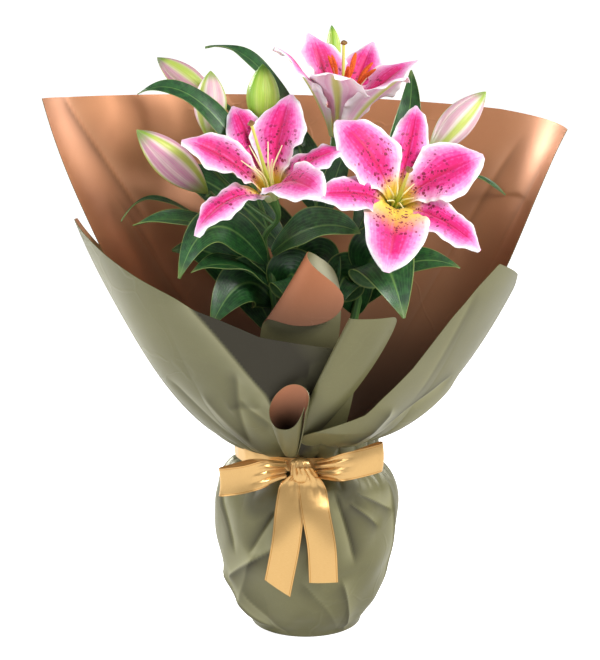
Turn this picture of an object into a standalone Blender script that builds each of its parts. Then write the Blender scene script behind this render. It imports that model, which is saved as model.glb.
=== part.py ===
"""Gift-wrapped potted lily: three oriental lily stems in a nursery pot, two-tone paper and a satin bow.

Metres, +Z up, front towards -Y. The origin is the middle of the flat underside, on the standing surface.
Every petal, leaf, bud, stem, paper sheet and ribbon piece is a separate closed solid.
"""

import math

import bmesh
import bpy
from mathutils import Matrix, Vector

GAP = 0.0003  # clearance between pieces that touch

# Nursery pot and soil
POT_TOP_RADIUS = 0.082
POT_BASE_RADIUS = 0.054
POT_HEIGHT = 0.140
POT_WALL = 0.0016
POT_LIP_DROP = 0.012
POT_LIP_OUT = 0.0018
DRAIN_RADIUS = 0.005
DRAIN_RING = 0.032
SOIL_BELOW_RIM = 0.014
SOIL_CROWN = 0.003

# Bulbs and stems
BULB_RADIUS = 0.021
BULB_HEIGHT = 0.044
BULB_ABOVE_FLOOR = 0.012
STEM_RADIUS = 0.0042
STEM_TOP_RADIUS = 0.0030
STEM_HOLE_CLEARANCE = 0.0012
PEDICEL_RADIUS = 0.0022
RECEPTACLE_RADIUS = 0.0044

# Flowers
TEPAL_THICKNESS = 0.0009
TEPAL_BASE_WIDTH = 0.0066
TEPAL_WRAP = 0.8
PETAL_WIDTH = 0.049
SEPAL_WIDTH = 0.035
PETAL_RING = 0.0054
SEPAL_RING = 0.0072
STYLE_RADIUS = 0.0013
FILAMENT_RADIUS = 0.0009
FILAMENT_RING = 0.0036

LEAF_THICKNESS = 0.0009
LEAF_BASE_WIDTH = 0.004
LEAF_OFF_STEM = 0.0012

# The heights of the plant and of the paper's corners are given for a rim at this height
RIM_GIVEN = 0.1409

# Paper
PAPER = 0.0006
COVER_SLACK = 0.019
COVER_EDGE = 0.001
NECK_ABOVE_RIM = 0.0441
NECK_RADIUS = 0.062
LAYER = 0.0018
LAYER_SPREAD = 1.2
OUTER_LAYER = 5
COLLAR_ABOVE_NECK = 0.348
COLLAR_LEFT = 0.258
COLLAR_RIGHT = 0.258
COLLAR_BACK = 0.155
COLLAR_FRONT = 0.170
FLARE = 0.5
FLARE_EASE = 0.002

# Ribbon
RIBBON_WIDTH = 0.028
RIBBON_THICKNESS = 0.0007
RIBBON_GATHER = 0.6
BAND_WIDTH = 0.014
BAND_CLEARANCE = 0.0012
KNOT_SIZE = (0.026, 0.016, 0.026)
KNOT_OFF_BAND = 0.002

FLOOR_TOP = PAPER + GAP
POT_TOP = FLOOR_TOP + POT_HEIGHT
SOIL_TOP = POT_TOP - SOIL_BELOW_RIM
LIFT = POT_TOP - RIM_GIVEN
NECK_HEIGHT = POT_TOP + NECK_ABOVE_RIM
COLLAR_HEIGHT = NECK_HEIGHT + COLLAR_ABOVE_NECK
BAND_RADIUS = NECK_RADIUS + OUTER_LAYER * LAYER + BAND_CLEARANCE
BAND_TOP = NECK_HEIGHT + BAND_WIDTH / 2
SHEET_FOOT = NECK_HEIGHT - BAND_WIDTH / 2 + 0.001
FLARE_FOOT = BAND_TOP + 0.001

parts = bpy.data.collections.new("potted_lily")
cutters = bpy.data.collections.new("potted_lily_cutters")


# ---------------------------------------------------------------- helpers


def clear_scene():
    """Removes every object of the open file."""
    for thing in list(bpy.data.objects):
        bpy.data.objects.remove(thing, do_unlink=True)


def finish(name, colour, roughness, metallic=0.0):
    """A Principled material with a plain colour."""
    material = bpy.data.materials.new(name)
    material.use_nodes = True
    principled = material.node_tree.nodes["Principled BSDF"]
    principled.inputs["Base Color"].default_value = (*colour, 1.0)
    principled.inputs["Roughness"].default_value = roughness
    principled.inputs["Metallic"].default_value = metallic
    return material


def place(name, mesh, material, collection=parts):
    """Adds a mesh to a collection as a named object and shades it smooth."""
    thing = bpy.data.objects.new(name, mesh)
    mesh.materials.clear()
    if material is not None:
        mesh.materials.append(material)
    collection.objects.link(thing)
    mesh.shade_smooth()
    return thing


def as_cutter(thing):
    """Hides a helper solid from renders and draws it as wire."""
    thing.hide_render = True
    thing.display_type = "WIRE"
    return thing


def boolean(target, other, operation):
    """Adds an exact Boolean with another solid."""
    modifier = target.modifiers.new(operation.lower() + "_" + other.name, "BOOLEAN")
    modifier.operation = operation
    modifier.object = other


def grid_mesh(name, rows):
    """An open surface through rows of points."""
    across = len(rows[0])
    points = [tuple(point) for row in rows for point in row]
    faces = [
        (i * across + j, i * across + j + 1, (i + 1) * across + j + 1, (i + 1) * across + j)
        for i in range(len(rows) - 1)
        for j in range(across - 1)
    ]
    mesh = bpy.data.meshes.new(name)
    mesh.from_pydata(points, [], faces)
    return mesh


def thicken(thing, thickness):
    """Gives an open surface its thickness, half to each side."""
    modifier = thing.modifiers.new("thickness", "SOLIDIFY")
    modifier.thickness = thickness
    modifier.offset = 0.0


def sheet(name, rows, thickness, material):
    """A thin solid whose middle surface runs through rows of points."""
    thing = place(name, grid_mesh(name, rows), material)
    thicken(thing, thickness)
    return thing


def turned(name, profile, material, steps=32, collection=parts):
    """A solid turned about Z from an (radius, height) outline that runs down its outer side."""
    mesh = bpy.data.meshes.new(name)
    points = [(radius, 0.0, height) for radius, height in profile]
    mesh.from_pydata(points, [(i, i + 1) for i in range(len(points) - 1)], [])
    thing = place(name, mesh, material, collection)
    screw = thing.modifiers.new("turn", "SCREW")
    screw.steps = steps
    screw.render_steps = steps
    screw.use_merge_vertices = True
    screw.merge_threshold = 0.00001
    return thing


def along(points, share):
    """The point at a share of the way through a smooth curve through points."""
    spans = len(points) - 1
    place_on = min(max(share, 0.0), 1.0) * spans
    index = min(int(place_on), spans - 1)
    t = place_on - index
    p1 = points[index]
    p2 = points[index + 1]
    p0 = points[index - 1] if index > 0 else p1 * 2 - p2
    p3 = points[index + 2] if index + 2 <= spans else p2 * 2 - p1
    return 0.5 * (
        p1 * 2 + (p2 - p0) * t + (p0 * 2 - p1 * 5 + p2 * 4 - p3) * t**2 + (p1 * 3 - p0 - p2 * 3 + p3) * t**3
    )


def tube(name, route, radii, material, stations=12, sides=2, collection=parts):
    """A round rod along a smooth route, made a mesh with its caps welded on."""
    curve = bpy.data.curves.new(name, "CURVE")
    curve.dimensions = "3D"
    curve.bevel_depth = 1.0
    curve.bevel_resolution = sides
    curve.use_fill_caps = True
    spline = curve.splines.new("POLY")
    spline.points.add(stations - 1)
    for i, point in enumerate(spline.points):
        share = i / (stations - 1)
        point.co = (*along(route, share), 1.0)
        step = share * (len(radii) - 1)
        low = min(int(step), len(radii) - 2)
        point.radius = radii[low] + (radii[low + 1] - radii[low]) * (step - low)
    guide = bpy.data.objects.new(name + "_guide", curve)
    collection.objects.link(guide)
    graph = bpy.context.evaluated_depsgraph_get()
    mesh = bpy.data.meshes.new_from_object(guide.evaluated_get(graph))
    mesh.name = name
    edit = bmesh.new()
    edit.from_mesh(mesh)
    bmesh.ops.remove_doubles(edit, verts=edit.verts, dist=0.00001)
    bmesh.ops.recalc_face_normals(edit, faces=edit.faces)
    edit.to_mesh(mesh)
    edit.free()
    bpy.data.objects.remove(guide, do_unlink=True)
    return place(name, mesh, material, collection)


def mm(*values):
    """A point or a size given in millimetres."""
    return Vector(values) / 1000


def plant(x, y, z):
    """A point of the plant in millimetres, lifted with the pot's rim."""
    return mm(x, y, z) + Vector((0, 0, LIFT))


def blend(low, high, share):
    """Linear interpolation."""
    return low + (high - low) * share


def heights_at(outline, angle):
    """The height of a sheet's top edge at an angle, from (angle, height) points."""
    for (a0, h0), (a1, h1) in zip(outline, outline[1:]):
        if angle <= a1:
            return blend(h0, h1, (angle - a0) / (a1 - a0)) + LIFT
    return outline[-1][1] + LIFT


# ---------------------------------------------------------------- pot, soil, bulbs


def pot_radius(height):
    """Outer radius of the pot wall at a height above the pot's underside."""
    return blend(POT_BASE_RADIUS, POT_TOP_RADIUS - POT_LIP_OUT, height / POT_HEIGHT)


def bulb_profile(clearance, neck_radius, neck_top):
    """Half outline of a bulb, grown by a clearance and with a neck that rises to a height."""
    base = FLOOR_TOP + POT_WALL + BULB_ABOVE_FLOOR
    middle = base + BULB_HEIGHT * 0.42
    outline = [(0.0, neck_top), (neck_radius, neck_top)]
    rings = 6
    for i in range(rings + 1):
        turn = math.pi * (0.16 + 0.84 * i / rings)
        rise = BULB_HEIGHT * (0.58 if turn < math.pi / 2 else 0.42)
        radius = BULB_RADIUS * math.sin(turn) ** 0.9 if i < rings else 0.0
        grown = radius + clearance if i < rings else 0.0
        outline.append((grown, middle + (rise + clearance) * math.cos(turn)))
    return outline


BULB_TOP = FLOOR_TOP + POT_WALL + BULB_ABOVE_FLOOR + BULB_HEIGHT * 1.02


def build_pot(material):
    """Tapered plastic pot with a lip and four drain holes."""
    lip = POT_TOP_RADIUS
    wall_top = POT_TOP_RADIUS - POT_LIP_OUT
    under_lip = POT_HEIGHT - POT_LIP_DROP
    profile = [
        (0.0, FLOOR_TOP + POT_WALL),
        (POT_BASE_RADIUS - POT_WALL, FLOOR_TOP + POT_WALL),
        (wall_top - POT_WALL, POT_TOP),
        (lip, POT_TOP),
        (lip, FLOOR_TOP + under_lip),
        (pot_radius(under_lip), FLOOR_TOP + under_lip),
        (POT_BASE_RADIUS, FLOOR_TOP),
        (0.0, FLOOR_TOP),
    ]
    pot = turned("nursery_pot", profile, material)
    for i in range(4):
        turn = math.radians(45 + 90 * i)
        bpy.ops.mesh.primitive_cylinder_add(
            vertices=10,
            radius=DRAIN_RADIUS,
            depth=6 * POT_WALL,
            location=(DRAIN_RING * math.cos(turn), DRAIN_RING * math.sin(turn), FLOOR_TOP + POT_WALL / 2),
        )
        hole = as_cutter(bpy.context.object)
        hole.name = f"drain_hole_{i}"
        for owner in list(hole.users_collection):
            owner.objects.unlink(hole)
        cutters.objects.link(hole)
        boolean(pot, hole, "DIFFERENCE")


def build_soil(material, stations):
    """Potting soil that fills the pot round the bulbs and the buried stems."""
    inner_base = POT_BASE_RADIUS - POT_WALL
    inner_top = POT_TOP_RADIUS - POT_LIP_OUT - POT_WALL
    floor = FLOOR_TOP + POT_WALL
    rise = (SOIL_TOP - floor) / (POT_HEIGHT - POT_WALL)
    edge = blend(inner_base, inner_top, rise) - 2 * GAP
    profile = [
        (0.0, SOIL_TOP + SOIL_CROWN),
        (edge * 0.55, SOIL_TOP + SOIL_CROWN * 0.8),
        (edge, SOIL_TOP),
        (inner_base - 2 * GAP, floor + GAP),
        (0.0, floor + GAP),
    ]
    soil = turned("soil", profile, material, 24)
    for name, (x, y) in stations.items():
        hole = turned(
            "hole_" + name,
            bulb_profile(GAP, STEM_RADIUS + STEM_HOLE_CLEARANCE, POT_TOP),
            None,
            12,
            cutters,
        )
        hole.location = (x, y, 0.0)
        as_cutter(hole)
        boolean(soil, hole, "DIFFERENCE")


def build_bulbs(material, stations):
    """One scaly bulb under each stem."""
    for name, (x, y) in stations.items():
        bulb = turned("bulb_" + name, bulb_profile(0.0, STEM_RADIUS, BULB_TOP), material, 12)
        bulb.location = (x, y, 0.0)


# ---------------------------------------------------------------- stems


def build_stem(name, foot, route, branches, material):
    """A stem with its flower stalks united into one piece.

    Args:
        name: Short name of the stem.
        foot: (x, y) of the bulb.
        route: Points above the soil, ending at the flower.
        branches: Name to (share of the route where it leaves, end point, direction at the end).
    """
    start = Vector((foot[0], foot[1], BULB_TOP + GAP))
    surface = Vector((foot[0], foot[1], SOIL_TOP + SOIL_CROWN + 0.008))
    points = [start, (start + surface) / 2, surface, *route]
    radii = [STEM_RADIUS] * (len(points) - 3) + [STEM_TOP_RADIUS, PEDICEL_RADIUS, RECEPTACLE_RADIUS]
    stem = tube("stem_" + name, points, radii, material, 18)
    for branch, (share, end, direction) in branches.items():
        origin = along(points, share)
        lead = end - direction.normalized() * 0.022
        middle = (origin + lead) / 2 + Vector((0, 0, -0.006))
        stalk = tube(
            "stalk_" + branch,
            [origin, middle, lead, end],
            [STEM_TOP_RADIUS * 0.8, PEDICEL_RADIUS, PEDICEL_RADIUS, RECEPTACLE_RADIUS * 0.8],
            material,
            8,
            2,
            cutters,
        )
        as_cutter(stalk)
        boolean(stem, stalk, "UNION")


# ---------------------------------------------------------------- flowers


def axes_of(direction):
    """Two unit vectors square to a direction."""
    first = Vector((0, 0, 1)).cross(direction).normalized()
    return first, direction.cross(first)


def tepal_rows(flower, tepal, ring, width, start_angle, rows=9, across=5):
    """Middle surface of one tepal: a strip that follows a surface of revolution round the flower's axis."""
    axis = flower["axis"].normalized()
    first, second = axes_of(axis)
    turn = math.radians(tepal["turn"])
    angle_from = math.radians(start_angle)
    angle_to = math.radians(tepal["open"])
    length = tepal["length"] / 1000
    steps = 40
    radius = ring
    height = 0.0008
    track = [(radius, height)]
    for i in range(steps):
        lean = angle_from + (angle_to - angle_from) * ((i + 0.5) / steps) ** 0.85
        radius += length / steps * math.sin(lean)
        height += length / steps * math.cos(lean)
        track.append((radius, height))
    points = []
    for i in range(rows):
        share = i / (rows - 1)
        radius, height = track[round(share * steps)]
        fullness = math.sin(math.pi * min(share, 0.985) ** 0.85) ** 0.75
        half = blend(TEPAL_BASE_WIDTH, 0.0035, share) / 2 + (width - TEPAL_BASE_WIDTH) / 2 * fullness
        half = min(half, radius * TEPAL_WRAP)
        row = []
        for j in range(across):
            aside = half * (2 * j / (across - 1) - 1)
            spin = turn + aside / max(radius, ring)
            outward = first * math.cos(spin) + second * math.sin(spin)
            row.append(flower["base"] + outward * radius + axis * height)
        points.append(row)
    return points


def build_flower(name, flower, petal_finish, style_finish, stamen_finish):
    """Three inner petals, three outer sepals, the pistil and the ring of stamens."""
    axis = flower["axis"].normalized()
    for number, tepal in enumerate(flower["tepals"]):
        inner = tepal["inner"]
        rows = tepal_rows(
            flower,
            tepal,
            PETAL_RING if inner else SEPAL_RING,
            PETAL_WIDTH if inner else SEPAL_WIDTH,
            13 if inner else 21,
        )
        kind = "petal" if inner else "sepal"
        sheet(f"lily_{name}_{kind}_{number // 2 + 1}", rows, TEPAL_THICKNESS, petal_finish)
    first, second = axes_of(axis)
    base = flower["base"]
    tip = flower["pistil"]
    foot = base + axis * 0.0008
    heading = foot + axis * 0.025
    route = [foot, heading, blend(heading, tip, 0.5) + axis * 0.002, tip - (tip - heading) * 0.08, tip]
    radii = [0.0022, STYLE_RADIUS * 1.4, STYLE_RADIUS, STYLE_RADIUS, 0.0030]
    tube(f"lily_{name}_pistil", route, radii, style_finish, 9)
    ring_height = base + axis * (0.0008 + FILAMENT_RADIUS)
    bpy.ops.mesh.primitive_torus_add(
        major_radius=FILAMENT_RING,
        minor_radius=FILAMENT_RADIUS,
        major_segments=12,
        minor_segments=4,
    )
    ring = bpy.context.object
    for owner in list(ring.users_collection):
        owner.objects.unlink(ring)
    parts.objects.link(ring)
    ring.name = f"lily_{name}_stamens"
    ring.data.materials.append(stamen_finish)
    ring.matrix_world = Matrix.Translation(ring_height) @ axis.to_track_quat("Z", "Y").to_matrix().to_4x4()
    for i in range(6):
        spin = math.radians(30 + 60 * i)
        outward = first * math.cos(spin) + second * math.sin(spin)
        lean = math.radians(flower["stamen_lean"])
        reach = flower["stamen_length"]
        start = ring_height + outward * FILAMENT_RING
        end = start + (axis * math.cos(lean) + outward * math.sin(lean)) * reach
        middle = start + axis * reach * 0.5 + outward * reach * 0.12 * math.sin(lean)
        filament = tube(
            f"filament_{name}_{i}",
            [start, middle, end],
            [FILAMENT_RADIUS, FILAMENT_RADIUS, FILAMENT_RADIUS * 0.8],
            stamen_finish,
            4,
            1,
            cutters,
        )
        as_cutter(filament)
        boolean(ring, filament, "UNION")
        if flower["anthers"]:
            swing = (outward * math.cos(lean) - axis * math.sin(lean)).normalized()
            anther = tube(
                f"anther_{name}_{i}",
                [end - swing * 0.008, end, end + swing * 0.008],
                [0.0010, 0.0020, 0.0010],
                stamen_finish,
                4,
                1,
                cutters,
            )
            as_cutter(anther)
            boolean(ring, anther, "UNION")


def build_bud(name, base, tip, width, material):
    """A closed bud: a turned spindle, fuller towards its tip."""
    length = (tip - base).length - GAP
    rings = 9
    profile = []
    for i in range(rings + 1):
        share = 1 - i / rings
        radius = width / 2 * math.sin(math.pi * share**1.15) ** 0.72 if 0 < i < rings else 0.0
        profile.append((radius, GAP + length * share))
    profile[-2] = (max(profile[-2][0], 0.003), profile[-2][1])
    bud = turned("bud_" + name, profile, material, 12)
    turning = (tip - base).normalized().to_track_quat("Z", "Y").to_matrix().to_4x4()
    bud.matrix_world = Matrix.Translation(base) @ turning


# ---------------------------------------------------------------- leaves


def build_leaf(name, base, middle, tip, width, face, material, rows=9, across=3):
    """A lance-shaped leaf along a bent midrib, with its upper side turned to a direction."""
    points = []
    for i in range(rows):
        share = i / (rows - 1)
        spine = base * (1 - share) ** 2 + middle * 2 * share * (1 - share) + tip * share**2
        heading = ((middle - base) * (1 - share) + (tip - middle) * share).normalized()
        side = heading.cross(face).normalized()
        upper = side.cross(heading).normalized()
        fullness = math.sin(math.pi * min(share, 0.99) ** 0.8) ** 0.8
        half = blend(LEAF_BASE_WIDTH, 0.0012, share) / 2 + (width - LEAF_BASE_WIDTH) / 2 * fullness
        row = []
        for j in range(across):
            aside = 2 * j / (across - 1) - 1
            row.append(spine + side * half * aside + upper * half * 0.22 * abs(aside))
        points.append(row)
    sheet("leaf_" + name, points, LEAF_THICKNESS, material)


# ---------------------------------------------------------------- paper


def flare(height):
    """How far a collar sheet has opened at a height: 0 at the ribbon, 1 at the top of the collar."""
    rise = max(height - FLARE_FOOT, 0.0)
    full = COLLAR_HEIGHT - FLARE_FOOT
    return ((rise + FLARE_EASE) ** FLARE - FLARE_EASE**FLARE) / (
        (full + FLARE_EASE) ** FLARE - FLARE_EASE**FLARE
    )


def collar_point(angle, height, layer, bulge=0.0):
    """A point of the collar: a flared oval, wider than deep, one layer of paper outside another."""
    turn = math.radians(angle)
    opened = flare(height)
    side = COLLAR_RIGHT if math.cos(turn) > 0 else COLLAR_LEFT
    depth = COLLAR_BACK if math.sin(turn) > 0 else COLLAR_FRONT
    inner = NECK_RADIUS + layer * LAYER * (1 + LAYER_SPREAD * opened)
    across = inner + (side - NECK_RADIUS) * opened + bulge
    deep = inner + (depth - NECK_RADIUS) * opened + bulge
    return Vector((across * math.cos(turn), deep * math.sin(turn), height))


def collar_heights(top):
    """Row heights of a collar sheet: close together where the paper flares out, then up to its top edge."""
    near = [0.0, 0.003, 0.010, 0.022]
    shrink = min(1.0, 0.6 * (top - FLARE_FOOT) / near[-1])
    heights = [SHEET_FOOT] + [FLARE_FOOT + rise * shrink for rise in near]
    last = heights[-1]
    spans = 4
    return heights + [blend(last, top, (k / spans) ** 1.15) for k in range(1, spans + 1)]


def collar_sheet(name, outline, layer, material, columns, bulge=None):
    """A collar sheet from the ribbon up to an outline given as (angle, height) points."""
    first = outline[0][0]
    last = outline[-1][0]
    lines = []
    for j in range(columns):
        angle = blend(first, last, j / (columns - 1))
        line = []
        for height in collar_heights(heights_at(outline, angle)):
            push = bulge(angle, height) if bulge else 0.0
            line.append(collar_point(angle, height, layer, push))
        lines.append(line)
    rows = [[line[i] for line in lines] for i in range(len(lines[0]))]
    sheet(name, rows, PAPER, material)


def cover_outline():
    """Inner outline (radius, height) of the pot cover, from the middle of its underside up to the neck."""
    swell = [(0.05, 0.22), (0.13, 0.50), (0.23, 0.76), (0.45, 0.88), (0.62, 1.0), (0.82, 0.84), (0.98, 0.60)]
    outline = [(0.0, PAPER), (POT_BASE_RADIUS + COVER_EDGE, PAPER)]
    for share, slack in swell:
        height = FLOOR_TOP + POT_HEIGHT * share
        outline.append((pot_radius(POT_HEIGHT * share) + COVER_SLACK * slack, height))
    top = outline[-1]
    outline.append((blend(top[0], NECK_RADIUS, 0.16), blend(top[1], NECK_HEIGHT, 0.38)))
    outline.append((blend(top[0], NECK_RADIUS, 0.55), blend(top[1], NECK_HEIGHT, 0.68)))
    outline.append((NECK_RADIUS - 0.0016, NECK_HEIGHT - BAND_WIDTH / 2 - 0.001))
    outline.append((NECK_RADIUS - 0.0022, BAND_TOP + 0.004))
    return outline


def cover_radius(height):
    """Radius of the pot cover at a height."""
    outline = cover_outline()
    for (r0, h0), (r1, h1) in zip(outline[1:], outline[2:]):
        if height <= h1:
            return blend(r0, r1, (height - h0) / (h1 - h0))
    return outline[-1][0]


def build_cover(material):
    """Paper drawn up round the pot from below: a flat underside, a full belly and a gathered neck."""
    inside = cover_outline()
    outside = []
    for i, (radius, height) in enumerate(inside):
        before = inside[max(i - 1, 0)]
        after = inside[min(i + 1, len(inside) - 1)]
        run = Vector((after[0] - before[0], after[1] - before[1])).normalized()
        outside.append((radius + run[1] * PAPER, height - run[0] * PAPER))
    outside[0] = (0.0, 0.0)
    outside[1] = (outside[1][0], 0.0)
    turned("wrap_pot_cover", inside + outside[::-1], material, 28)


def cage_sheet(name, points, quads, material, levels):
    """A soft sheet from a coarse cage of points, smoothed and thickened."""
    mesh = bpy.data.meshes.new(name)
    mesh.from_pydata([tuple(point) for point in points], [], quads)
    thing = place(name, mesh, material)
    smooth = thing.modifiers.new("soften", "SUBSURF")
    smooth.levels = levels
    smooth.render_levels = levels
    thicken(thing, PAPER)


def front_point(x, height, ahead, layer=2):
    """A point at a sideways place in front of (ahead > 0) or behind a collar layer's front face."""
    opened = flare(height)
    inner = NECK_RADIUS + layer * LAYER * (1 + LAYER_SPREAD * opened)
    across = inner + (COLLAR_LEFT - NECK_RADIUS) * opened
    deep = inner + (COLLAR_FRONT - NECK_RADIUS) * opened
    return Vector((x, -deep * math.sqrt(1 - (x / across) ** 2) - ahead, height))


def build_inner_sheet(material):
    """The front inner sheet, with its upper corner folded forward so that the copper side shows."""
    heights = [SHEET_FOOT, BAND_TOP - 0.003, FLARE_FOOT, 0.230 + LIFT, 0.304 + LIFT, 0.344 + LIFT]
    behind = [-1.2 * LAYER] * 3 + [-0.010, -0.018, -0.030]
    places = [(12, -1, -14), (12, -1, -14), (12, -1, -14), (22, -3, -26), (28, -8, -46), (34, 0, -42)]
    points = []
    for height, back, row in zip(heights, behind, places):
        for x in row:
            points.append(front_point(x / 1000, height, back))
    peak = [(30, 0.380), (12, 0.392), (-2, 0.402)]
    points += [front_point(x / 1000, height + LIFT, -0.064) for x, height in peak]
    quads = []
    for i in range(len(heights)):
        for j in range(2):
            low = 3 * i + j
            quads.append((low, low + 1, low + 4, low + 3))
    flap = [(-20, 0.332, -0.012), (24, 0.334, -0.010), (2, 0.386, -0.042), (44, 0.362, -0.028)]
    first = len(points)
    points += [front_point(x / 1000, height + LIFT, back) for x, height, back in flap]
    fold_low = 3 * (len(heights) - 1) + 2
    fold_high = fold_low + 3
    quads.append((fold_low, first, first + 2, fold_high))
    quads.append((first, first + 1, first + 3, first + 2))
    cage_sheet("wrap_inner_sheet", points, quads, material, 2)


def build_centre_roll(material):
    """A sheet rolled into a loose cone in front of the collar, tucked under the ribbon."""
    stations = [
        # height, middle x, distance ahead of the collar, half width, half depth
        (SHEET_FOOT, -0.003, LAYER, 0.005, 0.0002),
        (BAND_TOP - 0.003, -0.003, LAYER, 0.005, 0.0002),
        (FLARE_FOOT, -0.003, LAYER, 0.005, 0.0002),
        (0.204 + LIFT, -0.010, 0.0042, 0.008, 0.0006),
        (0.226 + LIFT, 0.000, 0.0064, 0.012, 0.0026),
        (0.264 + LIFT, 0.020, 0.0105, 0.021, 0.0065),
        (0.304 + LIFT, 0.041, 0.0140, 0.026, 0.0090),
        (0.348 + LIFT, 0.061, 0.0180, 0.026, 0.0120),
    ]
    turns = [140, 200, 250, 305, 365]
    points = []
    for height, x, ahead, half_width, half_depth in stations:
        for turn in turns:
            spin = math.radians(turn)
            place_on = front_point(x + half_width * math.cos(spin), height, ahead)
            points.append(place_on + Vector((0, half_depth * math.sin(spin), 0)))
    across = len(turns)
    quads = []
    for i in range(len(stations) - 1):
        for j in range(across - 1):
            low = i * across + j
            quads.append((low, low + 1, low + across + 1, low + across))
    cage_sheet("wrap_centre_roll", points, quads, material, 1)


# ---------------------------------------------------------------- ribbon


def loop_spread(share):
    """A loop's ribbon is gathered at both of its ends, in the knot."""
    return blend(RIBBON_GATHER, 1.0, min(1.0, min(share, 1 - share) / 0.22))


def tail_spread(share):
    """A tail's ribbon is gathered at its upper end only."""
    return blend(RIBBON_GATHER, 1.0, min(1.0, share / 0.3))


def strip(name, route, width, across_of, spread_at, material, stations=14):
    """A flat ribbon strip along a route, its width along a direction given for each share."""
    rows = []
    for i in range(stations):
        share = i / (stations - 1)
        centre = along(route, share)
        across = across_of(share).normalized() * width / 2 * spread_at(share)
        rows.append([centre - across, centre, centre + across])
    sheet(name, rows, RIBBON_THICKNESS, material)


def build_ribbon(material):
    """The band round the neck, the knot, two loops and two tails."""
    low = NECK_HEIGHT - BAND_WIDTH / 2
    outer = BAND_RADIUS + RIBBON_THICKNESS
    ring = [(BAND_RADIUS, low), (BAND_RADIUS, BAND_TOP), (outer, BAND_TOP), (outer, low), (BAND_RADIUS, low)]
    turned("ribbon_band", ring, material, 40)
    knot_x = -0.005
    knot_z = NECK_HEIGHT - 0.002
    clear = max(outer + KNOT_OFF_BAND, cover_radius(knot_z - KNOT_SIZE[2] / 2))
    front = -(clear + KNOT_SIZE[1] / 2)
    bpy.ops.mesh.primitive_uv_sphere_add(segments=14, ring_count=8, radius=0.5)
    knot = bpy.context.object
    for owner in list(knot.users_collection):
        owner.objects.unlink(knot)
    parts.objects.link(knot)
    knot.name = "ribbon_knot"
    knot.data.materials.append(material)
    knot.data.transform(Matrix.Diagonal((*KNOT_SIZE, 1.0)))
    knot.location = (knot_x, front, knot_z)
    up = Vector((0, 0, 1))
    side = KNOT_SIZE[0] / 2 + 0.0015

    def from_knot(x, y, z):
        return Vector((knot_x, front, knot_z)) + mm(x, y, z)

    edge = side * 1000
    left_loop = [(-edge, -3, 1), (-34, -18, 2), (-56, -21, -3), (-77, -13, -8)]
    left_loop += [(-72, -4, -8), (-44, -5, 0), (-edge, 3, 1)]
    right_loop = [(edge, -3, 2), (36, -22, 9), (58, -27, 15), (77, -22, 19)]
    right_loop += [(73, -12, 18), (44, -14, 8), (edge, 1, 1)]

    def loop_across(_):
        return up

    def down_cover(x, ahead, z):
        at = knot_z + z / 1000
        return Vector((knot_x + x / 1000, -cover_radius(at) - ahead / 1000, at))

    for name, route in {"bow_left_loop": left_loop, "bow_right_loop": right_loop}.items():
        points = [from_knot(*p) for p in route]
        strip(name, points, RIBBON_WIDTH, loop_across, loop_spread, material, 19)
    drop = KNOT_SIZE[2] / 2 * 1000 + 1.5
    left_tail = [from_knot(-7, -3, -drop)]
    left_tail += [down_cover(*p) for p in [(-11, 2.9, -38), (-15, 6.9, -72), (-23, 11.8, -116)]]
    right_tail = [from_knot(10, -4, -drop)]
    right_tail += [down_cover(*p) for p in [(14, 4.9, -38), (20, 8.9, -72), (22, 14.0, -109)]]

    def left_across(share):
        return Vector((1, 0, -0.35 * share))

    def right_across(_):
        return Vector((1, 0.02, -0.02))

    strip("bow_left_tail", left_tail, RIBBON_WIDTH, left_across, tail_spread, material, 8)
    strip("bow_right_tail", right_tail, RIBBON_WIDTH, right_across, tail_spread, material, 8)


# ---------------------------------------------------------------- the plant


def tepal(turn, opened, length, inner):
    """Settings of one tepal: its place round the axis and its opening in degrees, its length in mm."""
    return {"turn": turn, "open": opened, "length": length, "inner": inner}


FLOWERS = {
    "left": {
        "base": plant(-32, -42, 442),
        "axis": Vector((-0.19, -0.51, 0.84)),
        "tepals": [
            tepal(-33, 99, 106, True),
            tepal(17, 90, 92, False),
            tepal(83, 72, 102, True),
            tepal(127, 85, 104, False),
            tepal(191, 62, 106, True),
            tepal(245, 116, 109, False),
        ],
        "pistil": plant(-51, -84, 518),
        "stamen_lean": 16,
        "stamen_length": 0.058,
        "anthers": False,
    },
    "right": {
        "base": plant(84, -48, 435),
        "axis": Vector((0.17, -0.79, 0.59)),
        "tepals": [
            tepal(-49, 99, 106, False),
            tepal(13, 78, 101, True),
            tepal(73, 102, 102, False),
            tepal(130, 99, 106, True),
            tepal(188, 92, 105, False),
            tepal(252, 113, 106, True),
        ],
        "pistil": plant(94, -105, 477),
        "stamen_lean": 24,
        "stamen_length": 0.030,
        "anthers": False,
    },
    "back": {
        "base": plant(30, 10, 495),
        "axis": Vector((0.18, -0.14, 0.97)),
        "tepals": [
            tepal(263, 52, 106, False),
            tepal(322, 52, 108, True),
            tepal(20, 45, 108, False),
            tepal(81, 50, 108, True),
            tepal(139, 56, 108, False),
            tepal(202, 64, 105, True),
        ],
        "pistil": plant(36, 8, 588),
        "stamen_lean": 14,
        "stamen_length": 0.070,
        "anthers": True,
    },
}

BUDS = {
    # base, tip, width
    "left_low": (plant(-96, 0, 441), plant(-162, -35, 507), 0.035),
    "left_middle": (plant(-96, 24, 492), plant(-94, 32, 559), 0.032),
    "left_high": (plant(-90, 56, 526), plant(-150, 66, 570), 0.027),
    "green": (plant(-43, 12, 501), plant(-42, 10, 567), 0.032),
    "right": (plant(120, 0, 478), plant(176, 10, 540), 0.032),
    "small": (plant(30, 66, 559), plant(26, 72, 602), 0.014),
}

BULB_STATIONS = {
    "left": (-0.030, -0.012),
    "right": (0.032, -0.010),
    "back": (0.001, 0.032),
}


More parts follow.
